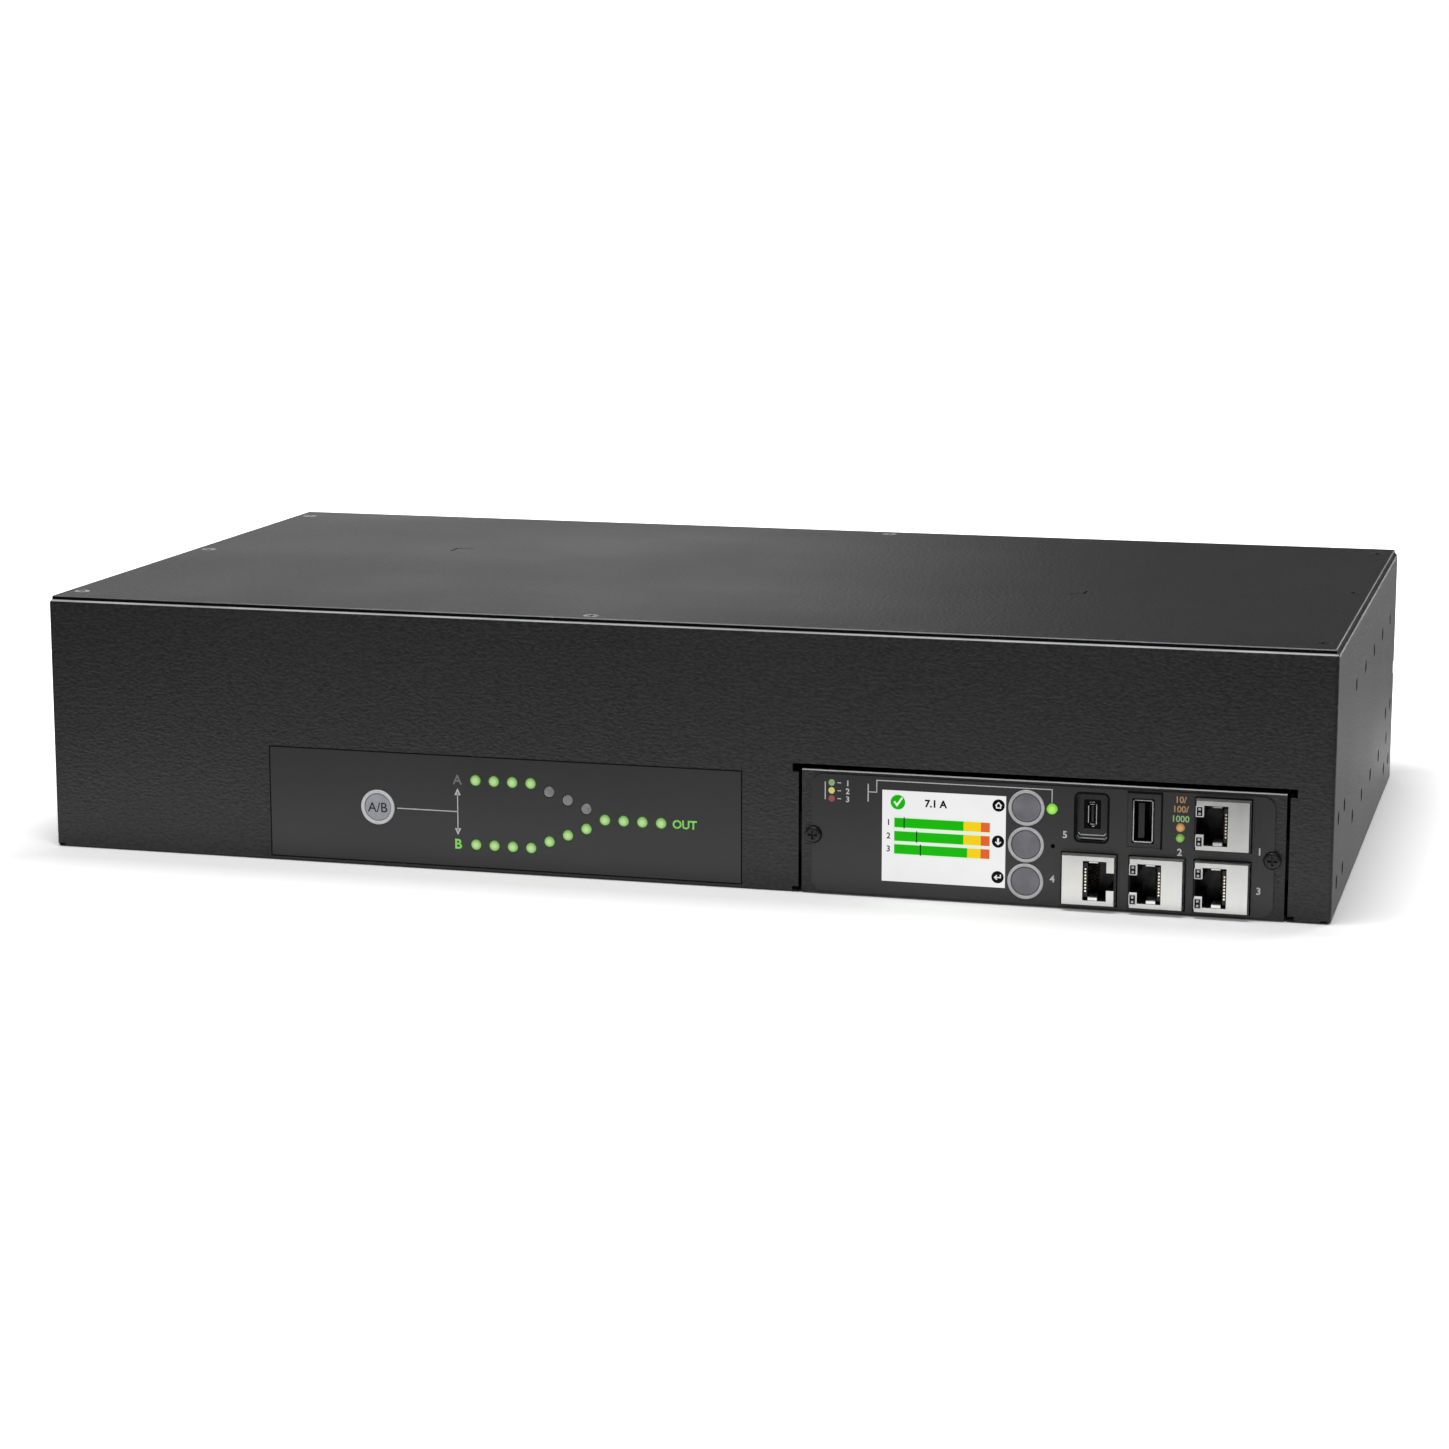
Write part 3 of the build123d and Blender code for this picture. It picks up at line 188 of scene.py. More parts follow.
# %% [markdown]
# The case is black polyester powder coat on steel. Powder melts into a skin with
# a pebbled surface, so its gloss is soft and each highlight is broken into small
# grains under a millimetre high and almost twice as wide. Folds that face the
# light get a pale painted highlight. The cover's broken edge gets wear with a painted
# highlight. Cut edges, side folds and gaps get near-black painted shade. The
# sockets, contacts and screws are plated or blackened metal, which mirrors its
# surroundings more or less sharply.

# %% Coated and plated steel
# pebbled black skin whose grain catches the light in flecks
powder_coat = finish(
    "powder_coated_steel", "060607", "262628", (0.5, 0.56), 90.0, 0.85, 0.12, 0.85, (0.55, 0.75, 1.0)
)
# pale painted highlight along a fold that faces the light
painted_fold_highlight = finish("painted_highlight_on_folds", "8c8c8e", "b4b4b6", (0.28, 0.36), 20.0, 1.0, 0.02)
# near-black painted shade for cut edges, side folds, gaps, grooves and hollows, where almost no light comes
# back
painted_shade = finish(
    "painted_shade_near_black", "050506", "0a0a0b", (0.7, 0.8), 12.0, 0.6, 0.02, Specular_IOR_Level=0.1
)
# grey line on the cover's broken edge: wear from hands, and a painted highlight where the edge faces up
worn_and_highlit_coat = finish("wear_and_painted_highlight_on_edge", "3c3c3e", "5a5a5d", (0.3, 0.4), 9.0, 1.0, 0.02)
# dark screw heads with a small soft highlight
blackened_steel = finish(
    "blackened_screw_steel", "1c1c1d", "2c2c2e", (0.28, 0.42), 1.5, 0.3, 0.01, Metallic=0.6
)
# white satin sheen of a socket's tinned shield
tin_plate = finish("tin_plated_steel", "c2c2bf", "cdcdca", (0.3, 0.36), 9.0, 0.5, 0.0005, Metallic=0.8)
# sharper and colder shine of nickel on springs and shells
bright_steel = finish("nickel_plated_steel", "b4b4b2", "cfcfcc", (0.18, 0.3), 4.0, 0.4, 0.003, Metallic=1.0)
# pale warm glint of thin gold on the tips of wires
gold_contact = finish("gold_plated_contact", "e6ddc6", "f4ecd8", (0.25, 0.35), 1.0, 0.2, 0.001, Metallic=1.0)
# yellow metal with the fine marks of a lathe
brass = finish("turned_brass", "a98642", "c9a75c", (0.22, 0.36), 3.0, 0.25, 0.004, Metallic=1.0)
print(len(bpy.data.materials), "finishes of coated and bare metal")

# %% [markdown]
# The overlay and the faceplate are printed polycarbonate film with a fine matt
# texture, smoother than the coat round them, which is what sets them apart in
# the picture. Outlets, breakers and glands are moulded nylon: a little mottled,
# with a spark-eroded grain from the mould. Keys are frosted and shine softly.

# %% Films and moulded plastics
# even dark grey, matt as paper
printed_film = finish("printed_polycarbonate", "1e1e1f", "242425", (0.42, 0.5), 40.0, 0.25, 0.006)
# mottled black of the outlets, with the mould's grain
outlet_nylon = finish("moulded_nylon", "1b1b1c", "232324", (0.42, 0.55), 12.0, 0.35, 0.02)
# a shade lighter and smoother, so that the breakers stand apart
breaker_nylon = finish("breaker_nylon", "202022", "2a2a2c", (0.36, 0.46), 10.0, 0.3, 0.012)
# deep black with soft highlights on the domes
gland_nylon = finish("gland_nylon", "161617", "1f1f20", (0.34, 0.48), 8.0, 0.3, 0.012)
# levers that fingers polish
lever_plastic = finish("lever_plastic", "101011", "1a1a1b", (0.25, 0.34), 6.0, 0.3, 0.006)
# black inside a socket, where little light gets in
socket_black = finish("socket_insert_plastic", "0b0b0c", "131314", (0.4, 0.55), 3.0, 0.3, 0.01)
# blue-grey frosted faces with a cloudy drift
key_face = finish("frosted_key_plastic", "66666c", "7c7c83", (0.4, 0.5), 7.0, 0.2, 0.004)
pale_key_face = finish("pale_key_plastic", "9c9ca6", "aeaeb6", (0.4, 0.5), 5.0, 0.2, 0.004)
# light satin rings that draw a circle round each key; this colour also paints highlights on two edges below
# the narrow socket
key_rim = finish("satin_key_ring", "b2b2b4", "c2c2c4", (0.3, 0.4), 3.0, 0.2, 0.003)
pale_key_rim = finish("pale_key_ring", "ccccd0", "dadade", (0.3, 0.4), 3.0, 0.2, 0.003)
# plain dark grey of small switches
switch_plastic = finish("switch_plastic", "2b2b2d", "353537", (0.4, 0.5), 3.0, 0.3, 0.01)
# blue-black relay covers with a low shine
relay_plastic = finish("relay_cover_plastic", "16181c", "202329", (0.3, 0.4), 9.0, 0.4, 0.01)
# green terminal blocks
terminal_nylon = finish("terminal_nylon", "2f6b4a", "3a7a56", (0.4, 0.5), 6.0, 0.3, 0.01)
# milky window of a lamp that is off, and a clear lens without its light
lamp_pale = finish("pale_lamp_window", "b0b0b2", "c2c2c4", (0.3, 0.4), 1.5, 0.3, 0.002)
lamp_grey = finish("unlit_lens", "7e7e80", "8e8e90", (0.3, 0.4), 1.5, 0.3, 0.004)
print(len(bpy.data.materials), "finishes with the plastics")

# %% [markdown]
# A circuit board is glass cloth under a green solder mask. Brick-like bands at
# right angles stand in for its tracks, drawn about a millimetre wide so that
# they show. The transformer core is a stack of thin steel sheets, so its bands
# run one way only. Both replace the colour of a plain finish with a wave.

# %% Circuit board and laminated core
WAVES_A_TURN = 20  # Blender's bands repeat so often over 2 pi units at scale 1
BAND_EDGE = {"From Min": 0.55, "From Max": 0.7}


def striped(name, base, line, pitch, axis, gloss, metallic=0.0):
    """A surface with bands of a second colour across one axis, at a pitch in millimetres."""
    material = finish(name, base, line, gloss, 20.0, 0.5, 0.008, Metallic=metallic)
    tree = material.node_tree
    place = add(tree, "ShaderNodeTexCoord").outputs["Object"]
    wave = {"Vector": place, "Scale": 2 * math.pi / (WAVES_A_TURN * pitch * MM), "Distortion": 1.2}
    bands = add(tree, "ShaderNodeTexWave", wave, bands_direction=axis).outputs["Fac"]
    colour = tree.nodes["Principled BSDF"].inputs["Base Color"].links[0].from_node
    fill(tree, colour.inputs["Factor"], add(tree, SPREAD, {"Value": bands, **BAND_EDGE}))
    return material


# green boards with lighter tracks
circuit_board = striped("green_circuit_board", "12472a", "2b7a45", 2.4, "DIAGONAL", (0.3, 0.42))
# grey core with the lines of its sheets
laminated_core = striped("laminated_core_steel", "4a4a4c", "6d6d6f", 1.2, "X", (0.4, 0.5), 0.8)
print("tracks repeat every 2.4 mm, core sheets every 1.2 mm")

# %% [markdown]
# Lit lamps and the display glow, so their colour is emission at a strength of
# one, which renders as it is written. A lamp is brightest at its middle. Each
# dome carries that as an attribute, made with its mesh later. The display keeps
# the faint drift of its backlight.

# %% Glowing finishes
LENS_CORE = 0.35  # share of a lens that is as bright as its middle


def glow(material, base):
    """Let a finish shine in its own colour over a dark base colour."""
    tree = material.node_tree
    shader = tree.nodes["Principled BSDF"].inputs
    colour = shader["Base Color"].links[0]
    fill(tree, shader["Emission Color"], colour.from_socket)
    tree.links.remove(colour)
    shader["Base Color"].default_value = linear(base)
    shader["Emission Strength"].default_value = 1.0
    return material


def lens(name, middle, edge):
    """A lit lens whose colour runs from its middle to its edge by the attribute from_middle."""
    material = glow(finish(name, middle, edge, (0.25, 0.35), 5.0, 0.3, 0.002), "101010")
    tree = material.node_tree
    spread = add(tree, "ShaderNodeAttribute", attribute_name="from_middle").outputs["Fac"]
    colour = tree.nodes["Principled BSDF"].inputs["Emission Color"].links[0].from_node
    fill(tree, colour.inputs["Factor"], add(tree, SPREAD, {"Value": spread, "From Min": LENS_CORE}))
    return material


# moulded clear lenses, lit from behind: green, a stronger green, a weaker green, amber
lamp_green = lens("lit_green_lens", "b0d68e", "6aa446")
lamp_bright_green = lens("lit_bright_green_lens", "aeec58", "74c638")
lamp_dim_green = lens("lit_link_green_lens", "8cb65c", "588a34")
lamp_amber = lens("lit_amber_lens", "cc9c5c", "a0703a")
# a flat picture that shines without highlights
SCREEN_COLOURS = {
    "white": ("e9e9ea", "f1f1f1"),
    "pale_green": ("dcecd9", "e4f2e0"),
    "green": ("10b000", "16b804"),
    "yellow": ("f0ca10", "f6d21a"),
    "orange_red": ("dc5a2e", "e46434"),
    "black": ("020202", "060606"),
}
screen = {}
for colour, pair in SCREEN_COLOURS.items():
    glass_finish = finish("display_" + colour, *pair, (0.12, 0.2), 18.0, 0.3, 0.0005, Specular_IOR_Level=0.05)
    screen[colour] = glow(glass_finish, "030303")
print("lenses: 4, display colours:", len(screen))

# %% [markdown]
# Silk-screen ink lies on the film as a thin flat layer. It is a matt colour with
# a faint unevenness from the mesh of the screen, the same for every ink. The dark
# green one is no print. It is painted glow round the lit lamps, made the same way.

# %% Printing inks
INK_COLOURS = {
    "white": ("c6c6c6", "d2d2d2"),
    "grey": ("6e6e70", "7a7a7c"),
    "green": ("84e45c", "96f06e"),
    "soft_green": ("8fb878", "9cc684"),
    "yellow": ("e4dc80", "eee694"),
    "red": ("9c464a", "a85055"),
    "orange": ("b48a5c", "c4986a"),
    "dark": ("1c1c1e", "242426"),
    # painted glow of the lit lamps on the film round them
    "dark_green": ("1f3a18", "28481f"),
}
ink = {}
for colour, pair in INK_COLOURS.items():
    ink[colour] = finish(colour + "_ink", *pair, (0.5, 0.6), 3.0, 0.2, 0.002)
print("inks:", ", ".join(ink))

# %% [markdown]
# Now the finishes go on the CAD nodes. A node keeps its mesh, and only its
# material slots are filled. Most nodes have one finish all over.

# %% Nodes with one finish


def dress(node, *finishes, pick=None):
    """Give a CAD node its finishes.

    pick takes a face's middle in millimetres and its normal, and returns a finish's number.
    """
    mesh = nodes[node].data
    mesh.materials.clear()
    for material in finishes:
        mesh.materials.append(material)
    if pick:
        for face in mesh.polygons:
            face.material_index = pick(face.center / MM, face.normal)


plain_finishes = {
    powder_coat: ["rear_panel"],
    blackened_steel: ["cover_screws", "panel_screws", "module_screws"],
    printed_film: ["indicator_overlay", "module_faceplate"],
    circuit_board: ["indicator_board", "module_board", "main_board", "outlet_board"],
    outlet_nylon: [name for name in nodes if "_outlet_" in name],
    breaker_nylon: ["breaker_body_a", "breaker_body_b"],
    lever_plastic: ["breaker_lever_a", "breaker_lever_b"],
    gland_nylon: ["cord_gland_a", "cord_gland_b"],
    key_face: ["home_key", "down_key", "enter_key"],
    pale_key_face: ["preference_key"],
    switch_plastic: ["key_switches", "reset_plunger"],
    relay_plastic: ["transfer_relays"],
    laminated_core: ["supply_transformers"],
    terminal_nylon: ["input_terminals"],
    brass: ["earth_stud", "board_spacers"],
    lamp_green: ["supply_a_lamps", "supply_b_lamps", "output_lamps"],
    lamp_bright_green: ["status_lamp"],
    lamp_amber: ["link_lamps"],
}
for material, names in plain_finishes.items():
    for name in names:
        dress(name, material)
print(sum(len(names) for names in plain_finishes.values()), "nodes have one finish")

# %% [markdown]
# The eye reads sheet metal by its folds and gaps. A fold that faces the light is
# a bright line, and a cut edge or what lies behind a gap is dark. Both are painted
# into the colour here: a pale painted highlight on the front folds, and near-black
# painted shade on the side folds, the cut edges and behind the module's gap. Each
# face of the tray, the cover and the module's bracket gets its finish by a small
# test of its place and the way that it faces.

# %% Coated nodes with painted highlights on folds and painted shade on edges
FOLD_DEPTH = 1.4
GAP_MARGIN = 2.0
GAP_DEPTH = 12.0
UNDERSIDE = 0.5
opening_low, opening_high = corners("module_bracket")


def tray_finish(point, normal):
    """Coat, but a painted highlight on the front fold, and painted shade on the side folds and behind the
    module's gap.
    """
    if point.z > tray_high.z - FOLD_DEPTH and 0.5 < normal.z < 0.88:
        return 1 if normal.y < -0.3 else 2
    beside = opening_low.x - GAP_MARGIN < point.x < opening_high.x + GAP_MARGIN
    level = tray_low.z + UNDERSIDE < point.z < opening_high.z + GAP_MARGIN
    behind = FRONT + 0.5 < point.y < FRONT + GAP_DEPTH
    return 2 if beside and level and behind and normal.y < 0.5 else 0


def cover_finish(point, normal):
    """Coat, but wear and a painted highlight on the broken edge, and painted shade on the cut edge below it.
    """
    if abs(normal.z) > 0.95:
        return 0
    return 1 if normal.z > 0.2 else 2


def bracket_finish(point, normal):
    """Coat, but a painted highlight on the front fold of the head flange."""
    return int(normal.y < -0.1 and 0.45 < normal.z < 0.9 and point.z > opening_high.z - 1.0)


# after the coat: the painted highlight (with wear on the cover), then the painted shade
dress("chassis", powder_coat, painted_fold_highlight, painted_shade, pick=tray_finish)
dress("top_cover", powder_coat, worn_and_highlit_coat, painted_shade, pick=cover_finish)
dress("module_bracket", powder_coat, painted_fold_highlight, pick=bracket_finish)
print("folds and edges picked on tray, cover and bracket")

# %% [markdown]
# A shielded socket is a tinned box round a black insert. The wide and the narrow
# bus sockets have a plated shell round a black tongue, and the display is a white
# lit window in a dark body. One test serves all boxes: inside the front edge of
# the box, and a little behind its face, a face belongs to the insert.

# %% Sockets and display with two finishes


def inside(low, high, depth):
    """A test for faces inside the edges of a box and at least this deep behind its front."""
    edge = 0.02

    def pick(point, normal):
        within = low.x + edge < point.x < high.x - edge and low.z + edge < point.z < high.z - edge
        return int(within and point.y > low.y + depth)

    return pick


sockets = ["network_jack", "link_b_jack", "link_a_jack", "universal_io_jack"]
for name in sockets:
    dress(name, tin_plate, socket_black, pick=inside(*corners(name), 0.1))

usb_low, usb_high = corners("usb_a_port")
shell_wall = Vector((0.4, 0.0, 0.4))
usb_insert = inside(usb_low + shell_wall, usb_high - shell_wall, 0.1)
dress("usb_a_port", bright_steel, socket_black, pick=usb_insert)

display_low, display_high = corners("lcd_panel")
glass_face = display_low.y + 0.01
dress("lcd_panel", switch_plastic, screen["white"], pick=lambda point, normal: int(point.y < glass_face))

MOUTH_RISE = 0.85
SHELL_HALF = (1.45, 4.05)
TONGUE_HALF = (0.4, 2.8)
narrow = (centre("micro_usb_port") + Vector((0.0, 0.0, MOUTH_RISE))).xz


def narrow_socket_finish(point, normal):
    """Black surround and tongue of the narrow socket, and the bright rim of its shell."""
    away = (abs(point.x - narrow.x), abs(point.z - narrow.y))
    on_shell = away[0] < SHELL_HALF[0] and away[1] < SHELL_HALF[1]
    on_tongue = away[0] < TONGUE_HALF[0] and away[1] < TONGUE_HALF[1]
    return int(on_shell and not on_tongue and normal.y < -0.5)


dress("micro_usb_port", socket_black, bright_steel, pick=narrow_socket_finish)
print("shielded sockets:", len(sockets), "- others with two finishes: 3")

# %% [markdown]
# New pieces are made in mesh code. This helper turns a bmesh in millimetres into
# a finished piece in metres, with its place in its mesh and its normals facing
# outwards, and lets it ride on the CAD body that carries it. Flat print is a
# very thin plate, because a real edge stays sharp however near the eye comes.

# %% Helpers that make a piece


def make_piece(name, form, finishes, body="root"):
    """A piece from a bmesh in millimetres, riding on a CAD body."""
    bmesh.ops.recalc_face_normals(form, faces=form.faces)
    bmesh.ops.scale(form, vec=(MM, MM, MM), verts=form.verts)
    mesh = bpy.data.meshes.new(name)
    form.to_mesh(mesh)
    form.free()
    for material in finishes:
        mesh.materials.append(material)
    piece = bpy.data.objects.new(name, mesh)
    scene.collection.objects.link(piece)
    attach(piece, body)
    print(name, "has", len(mesh.polygons), "faces")
    return piece


def join_loops(form, loops, finish_number=0, smooth=False):
    """Faces that join each closed loop of points to the next one, and the last to the first."""
    for number, loop in enumerate(loops):
        following = loops[(number + 1) % len(loops)]
        for here in range(len(loop)):
            after = (here + 1) % len(loop)
            face = form.faces.new((loop[here], loop[after], following[after], following[here]))
            face.material_index = finish_number
            face.smooth = smooth


def slab(form, points, shift, finish_number=0):
    """A closed solid from an outline of (x, y, z) points, swept along a shift."""
    near = [form.verts.new(point) for point in points]
    far = [form.verts.new([a + b for a, b in zip(point, shift)]) for point in points]
    faces = [form.faces.new(near), form.faces.new(far[::-1])]
    for here in range(len(points)):
        after = (here + 1) % len(points)
        faces.append(form.faces.new((near[here], far[here], far[after], near[after])))
    for face in faces:
        face.material_index = finish_number


def plate(form, outline, back, front, finish_number=0):
    """A closed plate with an outline of (x, z) points, between two depths in y."""
    slab(form, [(x, front, z) for x, z in outline], (0.0, back - front, 0.0), finish_number)


def window_frame(form, outer, inner, back, front, finish_number=0):
    """A closed frame between two outlines with as many (x, z) points, between two depths."""
    loops = []
    for outline, depth in ((outer, back), (outer, front), (inner, front), (inner, back)):
        loops.append([form.verts.new((x, depth, z)) for x, z in outline])
    join_loops(form, loops, finish_number)


def turn(form, x, z, outline, sides=64):
    """Sweep a closed outline of (radius, y) points round an axis through (x, z)."""
    loops = []
    for side in range(sides):
        angle = 2 * math.pi * side / sides
        across, up = math.cos(angle), math.sin(angle)
        loops.append([form.verts.new((x + r * across, y, z + r * up)) for r, y in outline])
    join_loops(form, loops, smooth=True)


print("mesh helpers: slab, plate, frame and turned ring")

# %% [markdown]
# Outlines are lists of points in the plane of the front: a bar, a disc, a bar
# with round corners, and a line of some width with mitred corners. Letters come
# from Blender's own font, as a text that is made a mesh before it is placed.

# %% Outlines and letters
INK = 0.03
SUNK = 0.005
CAPITAL_SHARE = 0.7  # height of a capital letter in Blender's font


def ink_on(face, facing=1):
    """Depths of print on a face. facing is 1 to the front and -1 to the back."""
    return (face + facing * SUNK, face - facing * INK)


def bar(x, z, width, height):
    """Outline of a rectangle round a middle point."""
    signs = ((-1, -1), (1, -1), (1, 1), (-1, 1))
    return [(x + side * width / 2, z + level * height / 2) for side, level in signs]


def disc(x, z, radius, sides=40):
    """Outline of a disc."""
    angles = [2 * math.pi * number / sides for number in range(sides)]
    return [(x + radius * math.cos(angle), z + radius * math.sin(angle)) for angle in angles]


def rounded(x, z, width, height, radius, steps=6):
    """Outline of a rectangle with round corners."""
    points = []
    for corner, (side, level) in enumerate(((1, 1), (-1, 1), (-1, -1), (1, -1))):
        corner_x = x + side * (width / 2 - radius)
        corner_z = z + level * (height / 2 - radius)
        for step in range(steps + 1):
            angle = math.radians(90 * (corner + step / steps))
            points.append((corner_x + radius * math.cos(angle), corner_z + radius * math.sin(angle)))
    return points


def stroke(points, width):
    """Outline of a line of this width through the points, with mitred corners."""
    sides = ([], [])
    for number, point in enumerate(points):
        here = Vector(point)
        before = Vector(points[max(number - 1, 0)])
        after = Vector(points[min(number + 1, len(points) - 1)])
        legs = [leg.normalized() for leg in (here - before, after - here) if leg.length]
        along = sum(legs, Vector((0.0, 0.0))).normalized()
        across = Vector((-along.y, along.x))
        reach = width / 2 / max(0.3, across.dot(Vector((-legs[0].y, legs[0].x))))
        sides[0].append(tuple(here + across * reach))
        sides[1].append(tuple(here - across * reach))
    return sides[0] + sides[1][::-1]


def lettering(form, text, x, z, height, back, front, finish_number=0, facing=1, weight=0.0):
    """Add letters or figures, centred on a point. facing is 1 to the front and -1 to the back."""
    curve = bpy.data.curves.new("figures", "FONT")
    curve.body = text
    curve.size = height / CAPITAL_SHARE
    curve.offset = weight
    curve.align_x = "CENTER"
    curve.extrude = abs(back - front) / 2
    curve.resolution_u = 4
    holder = bpy.data.objects.new("figures", curve)
    scene.collection.objects.link(holder)
    graph = bpy.context.evaluated_depsgraph_get()
    mesh = bpy.data.meshes.new_from_object(holder.evaluated_get(graph))
    upright = Matrix.Rotation(math.radians(90), 4, "X")
    if facing < 0:
        upright = Matrix.Rotation(math.radians(180), 4, "Z") @ upright
    mesh.transform(Matrix.Translation((x, (back + front) / 2, z - height / 2)) @ upright)
    first = len(form.faces)
    form.from_mesh(mesh)
    form.faces.ensure_lookup_table()
    for face in form.faces[first:]:
        face.material_index = finish_number
    bpy.data.objects.remove(holder)
    bpy.data.curves.remove(curve)
    bpy.data.meshes.remove(mesh)


print("a rounded bar has", len(rounded(0.0, 0.0, 4.0, 2.0, 0.5)), "points")

# %% [markdown]
# The overlay's print shows how the switch works: a key that prefers one feed,
# two rows that meet, and one output. A line, a double arrow and the letters of
# the feeds are enough. A near-black line round the film is painted shade for
# the gap round it.

# %% Print on the indicator overlay
ARROW_INSET = 6.3
ARROW_HALF = 7.9
HEAD_LENGTH = 2.3
HEAD_WIDTH = 2.2
KEY_CLEARANCE = 6.8
OUT_INSET = 6.2
LETTER_HEIGHT = 3.2
OUT_HEIGHT = 2.7
GAP_SHADE_WIDTH = 0.3
PRINT_LINE = 0.32
key_low, key_high = corners("preference_key")
key_x, key_z = centre("preference_key").xz
row_a_low, row_a_high = corners("supply_a_lamps")
output_low, output_high = corners("output_lamps")
LAMP_RADIUS = (output_high.z - output_low.z) / 2
feed_a = (row_a_low.x + LAMP_RADIUS, row_a_high.z - LAMP_RADIUS)
feed_b = (feed_a[0], corners("supply_b_lamps")[0].z + LAMP_RADIUS)
arrow_x = feed_a[0] - ARROW_INSET

overlay_print_and_gap_shade = bmesh.new()
front_ink = ink_on(FRONT)
plate(overlay_print_and_gap_shade, stroke([(key_x + KEY_CLEARANCE, key_z), (arrow_x, key_z)], PRINT_LINE), *front_ink)
plate(overlay_print_and_gap_shade, bar(arrow_x, key_z, PRINT_LINE, 2 * ARROW_HALF - HEAD_LENGTH), *front_ink)
for side in (-1, 1):
    tip = key_z + side * ARROW_HALF
    foot = tip - side * HEAD_LENGTH
    head = [(arrow_x, tip), (arrow_x - HEAD_WIDTH / 2, foot), (arrow_x + HEAD_WIDTH / 2, foot)]
    plate(overlay_print_and_gap_shade, head, *front_ink)
lettering(overlay_print_and_gap_shade, "A", arrow_x, feed_a[1], LETTER_HEIGHT, *front_ink, 1, weight=0.06)
lettering(overlay_print_and_gap_shade, "B", arrow_x, feed_b[1], LETTER_HEIGHT, *front_ink, 2, weight=0.12)
out_x = output_high.x + OUT_INSET
lettering(overlay_print_and_gap_shade, "OUT", out_x, key_z, OUT_HEIGHT, *front_ink, 2, weight=0.1)
overlay_low, overlay_high = corners("indicator_overlay")
overlay_size = (overlay_high - overlay_low).xz
overlay_middle = centre("indicator_overlay").xz
# a near-black frame just inside the overlay's edge is painted shade for the gap round the film
gap_shade_lines = [bar(*overlay_middle, *(side - cut for side in overlay_size)) for cut in (0.0, 2 * GAP_SHADE_WIDTH)]
window_frame(overlay_print_and_gap_shade, *gap_shade_lines, *front_ink, 3)
overlay_inks = [ink["white"], ink["grey"], ink["green"], painted_shade]
make_piece("overlay_print_and_gap_shade", overlay_print_and_gap_shade, overlay_inks)

# %% [markdown]
# Geometry Nodes make what repeats. A tree is built in the script with named
# inputs for its sizes, run once on an empty mesh, and kept as a plain mesh, so
# that nothing depends on the modifier later.

# %% Helpers for Geometry Nodes
MOVE = "GeometryNodeTransform"
INSTANCES = "GeometryNodeInstanceOnPoints"
JOIN = "GeometryNodeJoinGeometry"


def new_tree(name, **inputs):
    """A Geometry Nodes tree and its inputs, named in a list for each kind."""
    tree = bpy.data.node_groups.new(name, "GeometryNodeTree")
    tree.interface.new_socket("Geometry", in_out="OUTPUT", socket_type="NodeSocketGeometry")
    for kind, labels in inputs.items():
        for label in labels:
            tree.interface.new_socket(label, in_out="INPUT", socket_type="NodeSocket" + kind)
    return tree, add(tree, "NodeGroupInput").outputs


def end_tree(tree, geometry, material):
    """Close a tree: real meshes instead of instances, their material, and the output."""
    real = add(tree, "GeometryNodeRealizeInstances", [geometry])
    dressed = add(tree, "GeometryNodeSetMaterial", {"Geometry": real, "Material": material})
    add(tree, "NodeGroupOutput", [dressed])
    print(tree.name, "has", len(tree.nodes), "nodes")


def grow(name, tree, values, body="root", replaces=()):
    """Run a tree with these values and keep its result as a plain piece that rides on a body."""
    piece = bpy.data.objects.new(name, bpy.data.meshes.new(name + "_seed"))
    scene.collection.objects.link(piece)
    modifier = piece.modifiers.new("grow", "NODES")
    modifier.node_group = tree
    for item in tree.interface.items_tree:
        if item.in_out == "INPUT":
            modifier[item.identifier] = values[item.name]
    graph = bpy.context.evaluated_depsgraph_get()
    piece.data = bpy.data.meshes.new_from_object(
        piece.evaluated_get(graph), preserve_all_data_layers=True, depsgraph=graph
    )
    piece.modifiers.remove(modifier)
    piece.data.name = name
    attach(piece, body)
    if replaces:
        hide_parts(*replaces)
    print(name, "has", len(piece.data.polygons), "faces")
    return piece


print("trees end in real meshes with their material")

# %% [markdown]
# The lamps are light guides: a clear rod with a domed end that stands out of the
# film by less than half a millimetre. Each feed's row runs level and then slopes
# towards the output row, so their places follow one rule, and one tree makes all
# the rows. The dome stores how far each point is from its middle.

# %% The tree that makes a row of lamps
QUARTER_TURN = math.radians(90)
lamp_tree, given = new_tree(
    "lamp_row",
    Int=["Count", "First Number", "Last Level"],
    Float=["Pitch", "Step", "Radius", "Rod Length", "Stand Out"],
    Vector=["Start"],
    Material=["Lens"],
)
index = add(lamp_tree, "GeometryNodeInputIndex")
number = add(lamp_tree, MATH, [index, given["First Number"]], operation="ADD")
across = add(lamp_tree, MATH, [number, given["Pitch"]], operation="MULTIPLY")
past_level = add(lamp_tree, MATH, [number, given["Last Level"]], operation="SUBTRACT")
steps = add(lamp_tree, MATH, [past_level, 0.0], operation="MAXIMUM")
rise = add(lamp_tree, MATH, [steps, given["Step"]], operation="MULTIPLY")
shift = add(lamp_tree, XYZ, {"X": across, "Z": rise})
spot = add(lamp_tree, VECTOR_MATH, [given["Start"], shift], operation="ADD")
spots = add(lamp_tree, "GeometryNodePoints", [given["Count"], spot])

